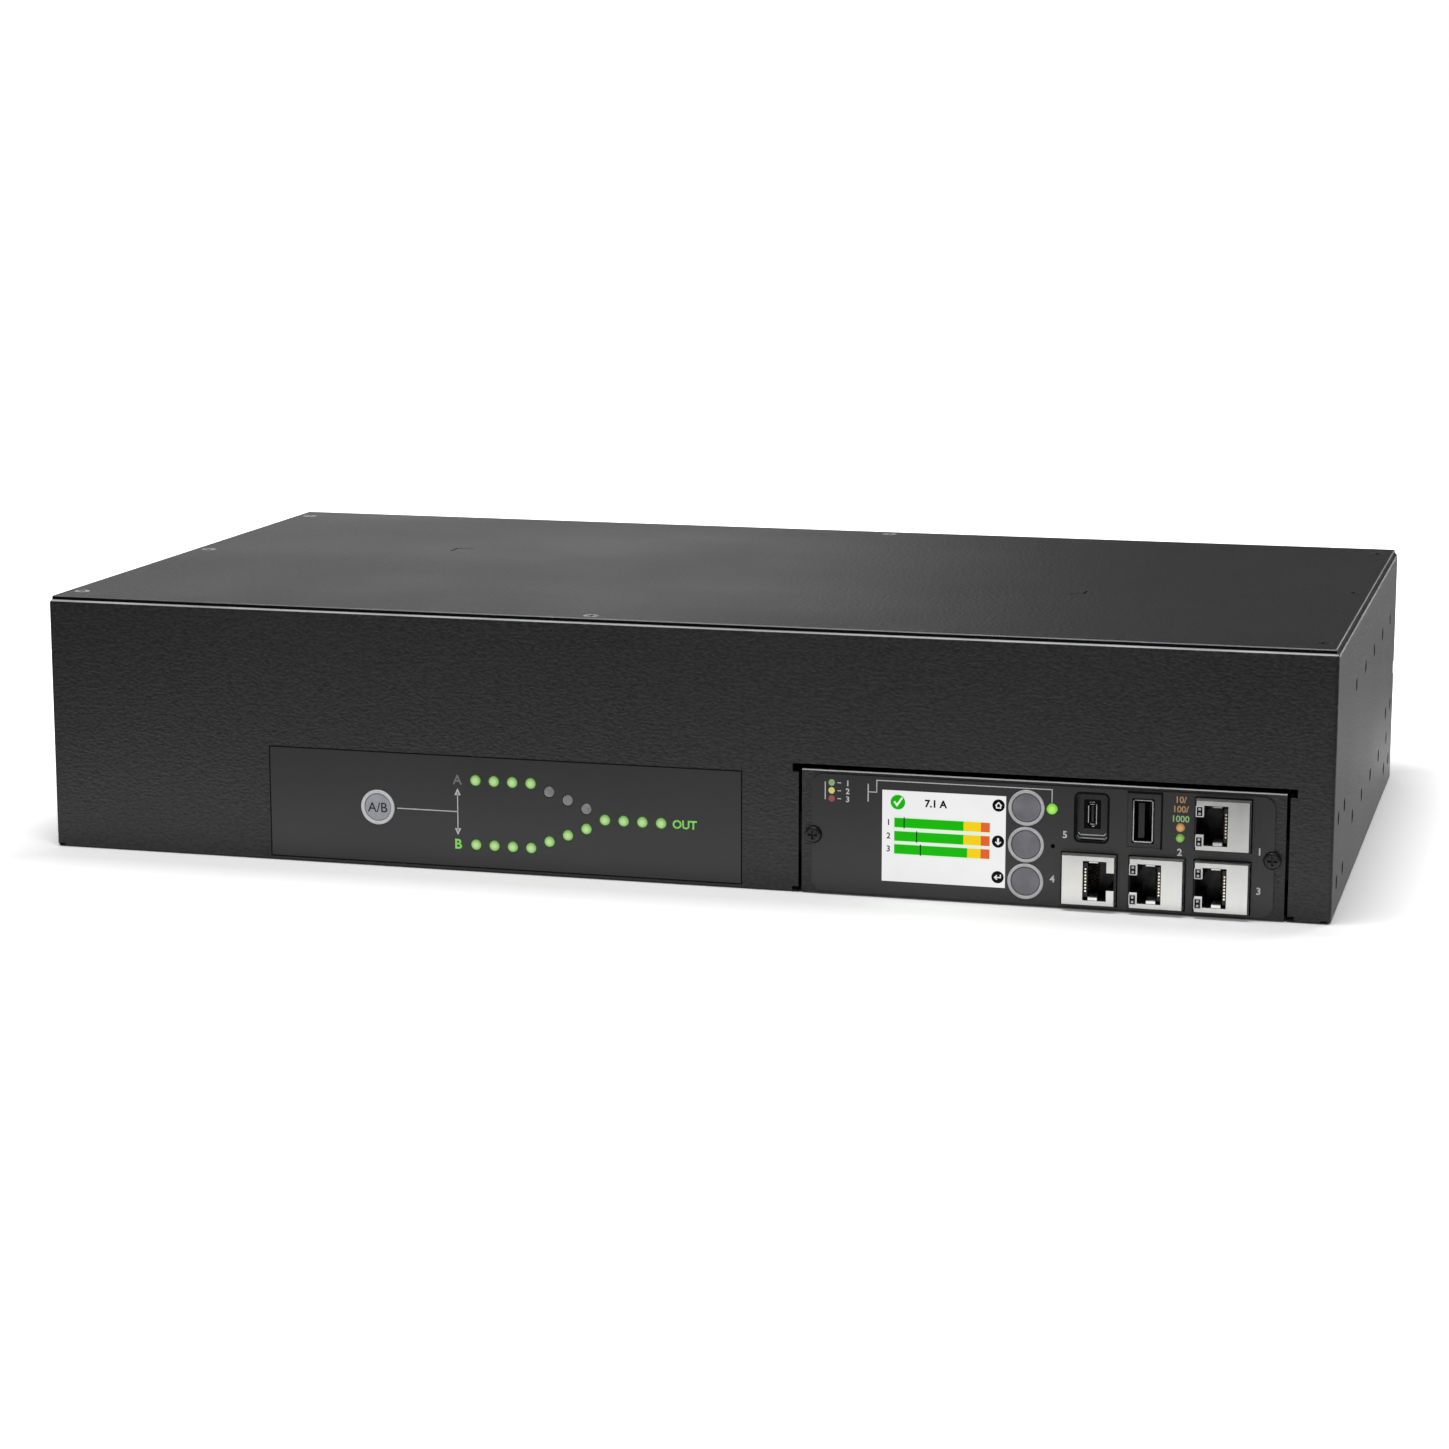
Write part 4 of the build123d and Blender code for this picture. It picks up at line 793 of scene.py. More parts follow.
rod_sizes = {"Vertices": 40, "Radius": given["Radius"], "Depth": given["Rod Length"]}
rod = add(lamp_tree, "GeometryNodeMeshCylinder", rod_sizes)
half_back = add(lamp_tree, MATH, [given["Rod Length"], -0.5], operation="MULTIPLY")
rod_shift = add(lamp_tree, XYZ, {"Z": half_back})
rod = add(lamp_tree, MOVE, {"Geometry": rod, "Translation": rod_shift})
ball_sizes = {"Segments": 40, "Rings": 20, "Radius": given["Radius"]}
ball = add(lamp_tree, "GeometryNodeMeshUVSphere", ball_sizes)
flatness = add(lamp_tree, MATH, [given["Stand Out"], given["Radius"]], operation="DIVIDE")
flat = add(lamp_tree, XYZ, [1.0, 1.0, flatness])
dome = add(lamp_tree, MOVE, {"Geometry": ball, "Scale": flat})
lamp = add(lamp_tree, JOIN, [[rod, dome]])

point = add(lamp_tree, "GeometryNodeInputPosition")
flat_point = add(lamp_tree, VECTOR_MATH, [point, (1.0, 1.0, 0.0)], operation="MULTIPLY")
away = add(lamp_tree, VECTOR_MATH, [flat_point], operation="LENGTH")
share = add(lamp_tree, MATH, [away, given["Radius"]], operation="DIVIDE")
note = {"Geometry": lamp, "Name": "from_middle", "Value": share}
marked = add(lamp_tree, "GeometryNodeStoreNamedAttribute", note, data_type="FLOAT", domain="POINT")
smooth = add(lamp_tree, "GeometryNodeSetShadeSmooth", [marked])
to_front = {"Points": spots, "Instance": smooth, "Rotation": (QUARTER_TURN, 0.0, 0.0)}
end_tree(lamp_tree, add(lamp_tree, INSTANCES, to_front), given["Lens"])

# %% [markdown]
# Feed B is chosen here, so its whole row and the output row glow, and feed A
# glows only up to the slope. The first four lamps of A and the last three are
# separate runs of the same rule. The module's three lamps are runs of one lamp.

# %% Rows of lamps
ROW_COUNT = 7
LEVEL_COUNT = 4
SLOPE_COUNT = ROW_COUNT - LEVEL_COUNT
OUTPUT_COUNT = 4
row_size = row_a_high - row_a_low
row_pitch = (row_size.x - 2 * LAMP_RADIUS) / (ROW_COUNT - 1)
row_step = (row_size.z - 2 * LAMP_RADIUS) / SLOPE_COUNT
output_start = (output_low.x + LAMP_RADIUS, key_z)
module_face = usb_low.y


def lamp_run(name, node, lens, count, spot, face=FRONT, first=0, step=0.0, radius=LAMP_RADIUS):
    """One run of lamps that stands for a CAD node, from a first spot of (x, z)."""
    low, high = corners(node)
    values = {
        "Count": count,
        "First Number": first,
        "Last Level": LEVEL_COUNT - 1,
        "Pitch": row_pitch * MM,
        "Step": step * MM,
        "Radius": radius * MM,
        "Rod Length": (high.y - face) * MM,
        "Stand Out": (face - low.y) * MM,
        "Start": metres(spot[0], face, spot[1]),
        "Lens": lens,
    }
    grow(name, lamp_tree, values, replaces=[node])


lamp_run("feed_a_lit_lamps", "supply_a_lamps", lamp_green, LEVEL_COUNT, feed_a)
lamp_run(
    "feed_a_dark_lamps", "supply_a_lamps", lamp_grey, SLOPE_COUNT, feed_a, first=LEVEL_COUNT, step=-row_step
)
lamp_run("feed_b_lit_lamps", "supply_b_lamps", lamp_green, ROW_COUNT, feed_b, step=row_step)
lamp_run("output_lit_lamps", "output_lamps", lamp_green, OUTPUT_COUNT, output_start)

status_low, status_high = corners("status_lamp")
on_status = {"face": module_face, "radius": (status_high.x - status_low.x) / 2}
lamp_run("status_lit_lamp", "status_lamp", lamp_bright_green, 1, centre("status_lamp").xz, **on_status)
link_low, link_high = corners("link_lamps")
link_radius = (link_high.x - link_low.x) / 2
link_x = centre("link_lamps").x
for level, z, lit in (
    ("upper", link_high.z - link_radius, lamp_amber),
    ("lower", link_low.z + link_radius, lamp_dim_green),
):
    place = (link_x, z)
    lamp_run(level + "_link_lamp", "link_lamps", lit, 1, place, module_face, radius=link_radius)

# %% [markdown]
# A bright ring with a rounded crown stands round each key. Each lit lamp has
# a dark green ring of painted glow, its light on the film, that makes it look
# brighter. Both are turned shapes: a closed outline swept round an axis that
# points out of the front.

# %% Key rings, and rings of painted glow round lamps
KEY_FLANGE = 0.7
KEY_GAP = 0.06
RING_FOOT = 0.1
RING_COVER = 0.04
CROWN_STEPS = 8
CROWN_POWER = 0.3
module_keys = ["home_key", "down_key", "enter_key"]


def rounded_ring(inner, outer, back, front):
    """Outline of a ring with a rounded crown, as (radius, y) points."""
    middle, half = (inner + outer) / 2, (outer - inner) / 2
    angles = [math.pi * step / CROWN_STEPS for step in range(CROWN_STEPS + 1)]
    rise = front - back
    return [(middle + half * math.cos(a), back + rise * math.sin(a) ** CROWN_POWER) for a in angles]


for name, keys, width, face, carrier, metal in (
    ("module_key_rings", module_keys, 1.15, module_face, "module_faceplate", key_rim),
    ("preference_key_ring", ["preference_key"], 1.3, FRONT, "indicator_overlay", pale_key_rim),
):
    rings = bmesh.new()
    crown = corners(carrier)[0].y - RING_COVER
    for key in keys:
        low, high = corners(key)
        radius = (high.z - low.z) / 2 - KEY_FLANGE
        section = rounded_ring(radius + KEY_GAP, radius + width, face + RING_FOOT, crown)
        turn(rings, *centre(key).xz, section)
    make_piece(name, rings, [metal])

# the dark green ring round each lit lamp is painted glow on the film, so only lit lamps get one
HALO_GAP = 0.02
HALO_WIDTH = 0.45
depths = (FRONT + SUNK, FRONT - INK / 2)  # thinner than the print beside it
halo = [(LAMP_RADIUS + HALO_GAP, depths[0]), (LAMP_RADIUS + HALO_WIDTH, depths[0])]
halo += [(radius, depths[1]) for radius, depth in halo[::-1]]
lit_spots = [(feed_a[0] + number * row_pitch, feed_a[1]) for number in range(LEVEL_COUNT)]
for number in range(ROW_COUNT):
    rise = max(0, number - LEVEL_COUNT + 1) * row_step
    lit_spots.append((feed_b[0] + number * row_pitch, feed_b[1] + rise))
lit_spots += [(output_start[0] + number * row_pitch, key_z) for number in range(OUTPUT_COUNT)]
halos = bmesh.new()
for spot in lit_spots:
    turn(halos, *spot, halo, sides=32)
make_piece("lamp_halos", halos, [ink["dark_green"]])

key_print = bmesh.new()
lettering(key_print, "A/B", key_x, key_z, LETTER_HEIGHT, *ink_on(key_low.y), weight=0.05)
make_piece("preference_key_print", key_print, [ink["dark"]], body="preference_key_body")

# %% [markdown]
# The module's faceplate carries a legend for its status lamp: three coloured
# dots between two bars, joined to the lamp by a thin line. Plain figures stand
# where a socket needs to be told from its neighbour. A near-black line along the
# top and the right of the recess round the wide socket is painted shadow.

# %% Print on the module
LINE = 0.28
RECESS_SHADOW_WIDTH = 0.6
LEGEND_FOOT = 31.1
LEGEND_TOP = 36.9
LEGEND_SIDES = (7.8, 21.9)
LEGEND_ROWS = (36.7, 34.1, 31.5)
DOT_X, DASH_X, FIGURE_X = 9.9, 12.4, 15.2
LAMP_LINE = [(21.9, 34.3), (24.7, 34.3), (24.7, 38.2), (81.3, 38.2), (81.3, 34.0)]
LINK_FIGURES = {"10/": (37.2, 4), "100/": (34.2, 4), "1000": (31.1, 1)}
LINK_X = 121.9
SOCKET_FIGURES = {
    "1": (146.8, 22.0),
    "2": (121.9, 20.4),
    "3": (146.8, 9.4),
    "4": (81.8, 9.4),
    "5": (85.6, 24.0),
}
RECESS_SHADOW_PATH = [(105.2, 38.7), (116.1, 38.7), (116.1, 20.8)]


def on_module(x, z):
    """A place on the module, from its lower left corner, in millimetres."""
    return (opening_low.x + x, opening_low.z + z)


module_print_and_recess_shadow = bmesh.new()
module_ink = ink_on(module_face)
for x in LEGEND_SIDES:
    side_bar = bar(*on_module(x, (LEGEND_FOOT + LEGEND_TOP) / 2), 0.35, LEGEND_TOP - LEGEND_FOOT)
    plate(module_print_and_recess_shadow, side_bar, *module_ink)
plate(module_print_and_recess_shadow, stroke([on_module(*corner) for corner in LAMP_LINE], LINE), *module_ink)
for row, z in enumerate(LEGEND_ROWS, start=1):
    plate(module_print_and_recess_shadow, disc(*on_module(DOT_X, z), 1.05), *module_ink, row)
    plate(module_print_and_recess_shadow, bar(*on_module(DASH_X, z), 1.2, LINE), *module_ink)
    lettering(module_print_and_recess_shadow, str(row), *on_module(FIGURE_X, z), 1.8, *module_ink, weight=0.07)
for text, (z, colour) in LINK_FIGURES.items():
    lettering(module_print_and_recess_shadow, text, *on_module(LINK_X, z), 2.0, *module_ink, colour, weight=0.06)
for text, spot in SOCKET_FIGURES.items():
    lettering(module_print_and_recess_shadow, text, *on_module(*spot), 2.2, *module_ink, weight=0.07)
# painted shadow: a near-black line along the top and the right of the recess round the wide socket
plate(module_print_and_recess_shadow, stroke([on_module(*corner) for corner in RECESS_SHADOW_PATH], RECESS_SHADOW_WIDTH), *module_ink, 5)
module_inks = [ink[colour] for colour in ("white", "soft_green", "yellow", "red", "orange")]
make_piece("module_print_and_recess_shadow", module_print_and_recess_shadow, [*module_inks, painted_shade])

# %% [markdown]
# The display shows a tick, one reading and three load bars with a mark on each,
# and beside the keys three round icons: a house, an arrow down and a return
# arrow. Each layer of the picture lies a fiftieth of a millimetre on the last.

# %% Picture on the display
LAYER = 0.02
SCREEN_BORDER = 0.3
SCREEN_WIDTH = 40.1
WHITE, PALE, GREEN, YELLOW, RED, BLACK = range(6)
TICK_SPOT = (5.1, 11.1)
TICK = ((3.9, 11.3), (4.8, 10.1), (6.5, 12.6))
READING_SPOT = (17.4, 11.2)
BAR_START, GREEN_END, YELLOW_END, BAR_END = 4.0, 26.5, 32.1, 35.0
BAR_ROWS = ((4.45, 3.1, GREEN_END, 7.2), (0.05, 3.2, GREEN_END, 11.3), (-4.2, 3.1, 27.8, 12.6))
BAND = ((BAR_START + BAR_END) / 2, 0.1, BAR_END - BAR_START + 0.6, 12.9)
FIGURES_X = 2.1
ICON_X = 37.7
ICON_RADIUS = 2.0
ICON_LINE = 0.36
ROOF = [(-1.0, -0.1), (0.0, 0.95), (1.0, -0.1)]
HOUSE = [ROOF, [(-0.65, 0.0), (-0.65, -0.8), (0.65, -0.8), (0.65, 0.0)]]
SHAFTS = [[(-0.12, 1.1), (-0.12, -0.9)], [(0.12, 1.1), (0.12, -0.9)]]
DOWN = [*SHAFTS, [(-0.9, -0.1), (0.0, -0.95), (0.9, -0.1)]]
RETURN = [[(0.9, 0.9), (0.9, -0.1), (-0.9, -0.1)], [(-0.2, 0.6), (-0.95, -0.1), (-0.2, -0.8)]]
ICONS = {11.8: HOUSE, 0.1: DOWN, -11.5: RETURN}
screen_left = display_high.x - SCREEN_BORDER - SCREEN_WIDTH
screen_middle = centre("lcd_panel").z


def on_screen(x, z):
    """A place on the display, from its left edge and its middle height."""
    return (screen_left + x, screen_middle + z)


def layer(number):
    """Depths of one layer of the picture."""
    return (display_low.y + SUNK, display_low.y - number * LAYER)


picture = bmesh.new()
plate(picture, disc(*on_screen(*TICK_SPOT), 2.4), *layer(1), GREEN)
plate(picture, stroke([on_screen(*point) for point in TICK], 0.6), *layer(2), WHITE)
lettering(picture, "7.1 A", *on_screen(*READING_SPOT), 2.3, *layer(1), BLACK, weight=0.12)
plate(picture, bar(*on_screen(*BAND[:2]), *BAND[2:]), *layer(1), PALE)
for row, (z, height, green_end, mark) in enumerate(BAR_ROWS, start=1):
    ends = (BAR_START, green_end, YELLOW_END, BAR_END)
    for colour, start, end in zip((GREEN, YELLOW, RED), ends, ends[1:]):
        plate(picture, bar(*on_screen((start + end) / 2, z), end - start, height), *layer(2), colour)
    plate(picture, bar(*on_screen(mark, z), 0.34, height + 0.6), *layer(3), BLACK)
    lettering(picture, str(row), *on_screen(FIGURES_X, z), 1.9, *layer(1), BLACK, weight=0.05)
for icon_z, strokes in ICONS.items():
    plate(picture, disc(*on_screen(ICON_X, icon_z), ICON_RADIUS), *layer(1), BLACK)
    for points in strokes:
        line = stroke([on_screen(ICON_X + x, icon_z + z) for x, z in points], ICON_LINE)
        plate(picture, line, *layer(2), WHITE)
make_piece("display_picture", picture, list(screen.values()))

# %% [markdown]
# Inside each shielded socket eight gilt wires bend back from the wall opposite
# the latch. A black comb holds them apart, so that from the front only their tips
# show, as eight pale dots. One tree draws a wire as a curve, gives it a round
# section and repeats it along the socket.

# %% The tree that makes a row of contact wires
POINTS = "GeometryNodePoints"
TO_MESH = "GeometryNodeCurveToMesh"
CIRCLE = "GeometryNodeCurvePrimitiveCircle"
wire_tree, given = new_tree(
    "contact_wires",
    Int=["Count"],
    Float=["Pitch", "Wire Radius"],
    Vector=["First", "Front Bend", "Back Bend", "Root"],
    Material=["Metal"],
)
bends = {"Start Handle": given["Front Bend"], "End Handle": given["Back Bend"], "End": given["Root"]}
from_tip = {"Resolution": 10, "Start": (0.0, 0.0, 0.0), **bends}
path = add(wire_tree, "GeometryNodeCurvePrimitiveBezierSegment", from_tip)
section = add(wire_tree, CIRCLE, {"Resolution": 8, "Radius": given["Wire Radius"]})
wire = add(wire_tree, TO_MESH, {"Curve": path, "Profile Curve": section, "Fill Caps": True})
index = add(wire_tree, "GeometryNodeInputIndex")
rise = add(wire_tree, MATH, [index, given["Pitch"]], operation="MULTIPLY")
shift = add(wire_tree, XYZ, {"Z": rise})
spot = add(wire_tree, VECTOR_MATH, [given["First"], shift], operation="ADD")
spots = add(wire_tree, POINTS, [given["Count"], spot])
end_tree(wire_tree, add(wire_tree, INSTANCES, {"Points": spots, "Instance": wire}), given["Metal"])

# %% [markdown]
# The comb, the bent shield spring at the lower end of the opening and the two
# small lamps beside the latch are plain solids. Each one is placed from the box
# of its socket. The lamps sit a little nearer the middle than the pockets in the
# CAD model, so a flush near-black filling, painted shade, closes the pockets.

# %% Spring, comb and lamp windows of one socket
SPRING_STEEL, RIM_WHITE, LIT_SPOT, DULL_FILL, SHIELD_TIN, COMB_BLACK = range(6)
details_finishes = [bright_steel, ink["white"], lamp_pale, painted_shade, tin_plate, socket_black]
CAVITY_HALF = 6.6
SPRING = [(0.3, -0.05), (0.3, 1.2), (0.7, 1.45), (3.4, 2.0), (6.0, 0.2), (6.0, -0.05)]
SPRING_SIDE, SPRING_WIDTH = 1.5, 2.9
NIB_SIDE, NIB_DROP = 1.75, 0.55
NIB_SIZE, NIB_DEPTHS = (2.9, 0.4), (0.8, 0.1)
WIRE_INSET, COMB_HALF, COMB_MARGIN = 0.75, 0.6, 1.1
COMB_DEPTHS = (9.0, 1.3)
RECESS_INSET, RECESS_SIZE, RECESS_DEPTH = 0.35, (2.0, 2.8), 0.4
WINDOW_INSET, WINDOW_RISES = 1.3, (4.45, -5.2)
WINDOW_SIZE, WINDOW_INSIDE, WINDOW_DEPTH = (2.4, 3.5), (1.75, 2.85), 0.1
SPOT_RISE, SPOT_SIDE = 0.72, 0.75


def window_details(details, low, high, z):
    """Fill the corner pockets of a socket and put its two lamp windows in place."""
    recess_x = low.x + RECESS_INSET + RECESS_SIZE[0] / 2
    recess_rise = (high.z - low.z) / 2 - RECESS_INSET - RECESS_SIZE[1] / 2
    for level in (-1, 1):
        recess = bar(recess_x, z + level * recess_rise, *RECESS_SIZE)
        plate(details, recess, low.y + RECESS_DEPTH, low.y, SHIELD_TIN)
    for rise in WINDOW_RISES:
        x, back = low.x + WINDOW_INSET, low.y + WINDOW_DEPTH
        inner = bar(x, z + rise, *WINDOW_INSIDE)
        # the window's inside is a flat near-black fill: painted shade where the pocket was
        plate(details, inner, back, low.y - SUNK / 2, DULL_FILL)
        window_frame(details, bar(x, z + rise, *WINDOW_SIZE), inner, back, low.y - SUNK, RIM_WHITE)
        for spot_rise in (-SPOT_RISE, SPOT_RISE):
            lit = bar(x, z + rise + spot_rise, SPOT_SIDE, SPOT_SIDE)
            plate(details, lit, back, low.y - SUNK, LIT_SPOT)


def socket_details(low, high, x, z, wire_x, handing):
    """Spring, nib and comb of one socket, and the lamps of one with its latch on the left."""
    details = bmesh.new()
    spring_x = x - handing * SPRING_SIDE - SPRING_WIDTH / 2
    profile = [(spring_x, low.y + depth, z - CAVITY_HALF + rise) for depth, rise in SPRING]
    slab(details, profile, (SPRING_WIDTH, 0.0, 0.0), SPRING_STEEL)
    nib = bar(x - handing * NIB_SIDE, z + CAVITY_HALF - NIB_DROP, *NIB_SIZE)
    plate(details, nib, *[low.y + depth for depth in NIB_DEPTHS], SPRING_STEEL)
    comb_x = wire_x + handing * (WIRE_INSET - COMB_HALF) / 2
    comb = bar(comb_x, z, WIRE_INSET + COMB_HALF, 2 * (CAVITY_HALF - COMB_MARGIN))
    plate(details, comb, *[low.y + depth for depth in COMB_DEPTHS], COMB_BLACK)
    if handing > 0:
        window_details(details, low, high, z)
    return details


print("finishes in a socket:", len(details_finishes))

# %% [markdown]
# Three sockets have their latch on the left. The fourth is turned round, so its
# wires, spring and nib change sides, and it has no lamps. A sign of plus or minus
# one is all that the two hands need.

# %% Fit out the shielded sockets
WIRE_COUNT = 8
WIRE_PITCH = 1.02
WIRE_RADIUS = 0.3
WIRE_DEPTH = 0.9
CONTACT_WALL = 1.65
for name in sockets:
    low, high = corners(name)
    x, z = (low.x + high.x) / 2, (low.z + high.z) / 2
    handing = -1 if name == "universal_io_jack" else 1
    wire_x = x + handing * (CONTACT_WALL - WIRE_INSET)
    values = {
        "Count": WIRE_COUNT,
        "First": metres(wire_x, low.y + WIRE_DEPTH, z - WIRE_PITCH * (WIRE_COUNT - 1) / 2),
        "Pitch": WIRE_PITCH * MM,
        "Front Bend": metres(0.0, 2.0, 0.0),
        "Back Bend": metres(handing * -1.8, 6.0, 0.0),
        "Root": metres(handing * -2.4, 11.4, 0.0),
        "Wire Radius": WIRE_RADIUS * MM,
        "Metal": gold_contact,
    }
    grow(name + "_contacts", wire_tree, values)
    details = socket_details(low, high, x, z, wire_x, handing)
    make_piece(name + "_shield_spring", details, details_finishes)

# %% [markdown]
# The wide bus socket has four flat gilt contacts, stamped from strip and laid in
# its tongue. They stand out by less than their thickness, like the real ones.

# %% Contacts of the wide bus socket
CONTACT_COUNT = 4
CONTACT_PITCH = 2.4
CONTACT_HALF = 0.5
CONTACT_START, CONTACT_END = 3.2, 9.0
CONTACT_SIDE, CONTACT_THICKNESS = 1.7, 0.15
usb_middle = centre("usb_a_port")
bus = bmesh.new()
for number in range(CONTACT_COUNT):
    z = usb_middle.z + (number - (CONTACT_COUNT - 1) / 2) * CONTACT_PITCH
    near = [(CONTACT_START, z - CONTACT_HALF), (CONTACT_START, z + CONTACT_HALF)]
    far = [(CONTACT_END, z + CONTACT_HALF), (CONTACT_END, z - CONTACT_HALF)]
    outline = [(usb_middle.x - CONTACT_SIDE, usb_low.y + depth, height) for depth, height in near + far]
    slab(bus, outline, (CONTACT_THICKNESS, 0.0, 0.0))
make_piece("usb_a_contacts", bus, [gold_contact])

# %% [markdown]
# The rim of the wide socket's shell is seen end on, and the gap round it is dark,
# so a near-black line inside its outline and at its corners is painted shade.
# The narrow socket sits in a moulded surround with a groove round it. Its
# groove, pocket and mouth are drawn in near-black painted shade. Two raised edges
# below it catch the light, drawn as pale painted highlights. Thin frames and
# lines draw all of these.

# %% Painted shade and highlights of the bus sockets
GROOVE = ((11.3, 16.4, 2.0), (9.9, 15.0, 1.4))
POCKET = ((5.2, 9.4, 0.6), (2.9, 8.1, 0.9))
MOUTH = ((2.3, 7.5, 0.7), (1.6, 6.6, 0.4))
RAISED_EDGE_HIGHLIGHTS = ((-5.85, 4.4, 0.3), (-6.95, 4.8, 0.35))
EDGE_RISE, EDGE_SLANT = 0.7, 0.6
SHELL_LINE, CORNER_CUT = 0.15, 0.8
micro_face = corners("micro_usb_port")[0].y
micro = centre("micro_usb_port").xz
surround = bmesh.new()
wide, tall = (usb_high - usb_low).xz
# near-black painted shade for the gap inside the wide socket's shell outline and at its corners
shell = [bar(*usb_middle.xz, wide - cut, tall - cut) for cut in (0.0, 2 * SHELL_LINE)]
window_frame(surround, *shell, *ink_on(usb_low.y))
for side, level in ((-1, -1), (-1, 1), (1, -1), (1, 1)):
    x, z = usb_middle.x + side * wide / 2, usb_middle.z + level * tall / 2
    corner = [(x, z), (x - side * CORNER_CUT, z), (x, z - level * CORNER_CUT)]
    plate(surround, corner, *ink_on(usb_low.y))
# near-black painted shade in the narrow socket's groove, pocket and mouth
for spot, (outer, inner), face in (
    (micro, GROOVE, module_face),
    (narrow, POCKET, micro_face),
    (narrow, MOUTH, micro_face),
):
    window_frame(surround, rounded(*spot, *outer), rounded(*spot, *inner), *ink_on(face))
# pale painted highlights where two raised edges below the narrow socket catch the light
for rise, half, width in RAISED_EDGE_HIGHLIGHTS:
    ends = [(-half, EDGE_RISE), (EDGE_SLANT - half, 0.0), (half - EDGE_SLANT, 0.0), (half, EDGE_RISE)]
    line = stroke([(micro[0] + x, micro[1] + rise + z) for x, z in ends], width)
    plate(surround, line, micro_face + SUNK, micro_face - 2 * INK, 1)
make_piece("bus_socket_shade_and_highlight_lines", surround, [painted_shade, key_rim])

# %% [markdown]
# In the back the outlets need their metal: each slot holds a pair of spring
# leaves. The outlets stand in a grid, so a tree places three contacts in one
# outlet, and then the outlets in their columns and rows.

# %% The tree that fills a grid of outlets with contact leaves
leaf_tree, given = new_tree(
    "outlet_contacts",
    Int=["Columns", "Count"],
    Float=["Column Step", "Row Step", "Contact Step", "Earth Rise"],
    Vector=["First", "Leaf Size", "Leaf Shift"],
    Material=["Metal"],
)
leaf = add(leaf_tree, "GeometryNodeMeshCube", [given["Leaf Size"]])
back_shift = add(leaf_tree, VECTOR_MATH, [given["Leaf Shift"], -1.0], operation="SCALE")
shifts = (given["Leaf Shift"], back_shift)
leaves = [add(leaf_tree, MOVE, {"Geometry": leaf, "Translation": shift}) for shift in shifts]
pair = add(leaf_tree, JOIN, [leaves])

index = add(leaf_tree, "GeometryNodeInputIndex")
from_middle = add(leaf_tree, MATH, [index, 1.0], operation="SUBTRACT")
contact_x = add(leaf_tree, MATH, [from_middle, given["Contact Step"]], operation="MULTIPLY")
away = add(leaf_tree, MATH, [from_middle], operation="ABSOLUTE")
rise_share = add(leaf_tree, MATH, [away, -2.0, 1.0], operation="MULTIPLY_ADD")
contact_z = add(leaf_tree, MATH, [rise_share, given["Earth Rise"]], operation="MULTIPLY")
three = add(leaf_tree, POINTS, [3, add(leaf_tree, XYZ, {"X": contact_x, "Z": contact_z})])
one_outlet = add(leaf_tree, INSTANCES, {"Points": three, "Instance": pair})
one_outlet = add(leaf_tree, "GeometryNodeRealizeInstances", [one_outlet])

column = add(leaf_tree, MATH, [index, given["Columns"]], operation="MODULO")
rows_past = add(leaf_tree, MATH, [index, given["Columns"]], operation="DIVIDE")
row = add(leaf_tree, MATH, [rows_past], operation="FLOOR")
outlet_x = add(leaf_tree, MATH, [column, given["Column Step"]], operation="MULTIPLY")
outlet_z = add(leaf_tree, MATH, [row, given["Row Step"]], operation="MULTIPLY")
outlet_shift = add(leaf_tree, XYZ, {"X": outlet_x, "Z": outlet_z})
outlet_spot = add(leaf_tree, VECTOR_MATH, [given["First"], outlet_shift], operation="ADD")
grid = add(leaf_tree, POINTS, [given["Count"], outlet_spot])
end_tree(leaf_tree, add(leaf_tree, INSTANCES, {"Points": grid, "Instance": one_outlet}), given["Metal"])

# %% [markdown]
# The leaves are stamped from springy bronze and tinned. The small outlets stand
# in two rows of eight with upright slots, and the two large ones stand above each
# other with level slots, so the same tree runs twice with other numbers.

# %% Contact leaves of all outlets
SMALL_COLUMNS = 8
LEAF_DEPTH = 8.0
LEAF_SINK = 2.5
first_small, next_small, below_small = [
    centre(f"small_outlet_{number:02d}") for number in (1, 2, 1 + SMALL_COLUMNS)
]
first_large, second_large = centre("large_outlet_1"), centre("large_outlet_2")
leaf_y = corners("small_outlet_01")[1].y - LEAF_SINK - LEAF_DEPTH / 2
small_values = {
    "Columns": SMALL_COLUMNS,
    "Count": 2 * SMALL_COLUMNS,
    "First": metres(first_small.x, leaf_y, first_small.z),
    "Column Step": (next_small.x - first_small.x) * MM,
    "Row Step": (below_small.z - first_small.z) * MM,
    "Contact Step": 7.0 * MM,
    "Earth Rise": 2.0 * MM,
    "Leaf Size": metres(0.35, LEAF_DEPTH, 4.0),
    "Leaf Shift": metres(0.9, 0.0, 0.0),
    "Metal": bright_steel,
}
large_values = {
    **small_values,
    "Columns": 1,
    "Count": 2,
    "First": metres(first_large.x, leaf_y, first_large.z),
    "Row Step": (second_large.z - first_large.z) * MM,
    "Contact Step": 6.5 * MM,
    "Earth Rise": 4.0 * MM,
    "Leaf Size": metres(7.8, LEAF_DEPTH, 0.4),
    "Leaf Shift": metres(0.0, 0.0, 0.95),
}
grow("small_outlet_contacts", leaf_tree, small_values)
grow("large_outlet_contacts", leaf_tree, large_values)

# %% [markdown]
# The back is printed with figures only: one for each outlet, the letters of the
# two feeds, the marks of the breakers and the usual sign of an earth point.

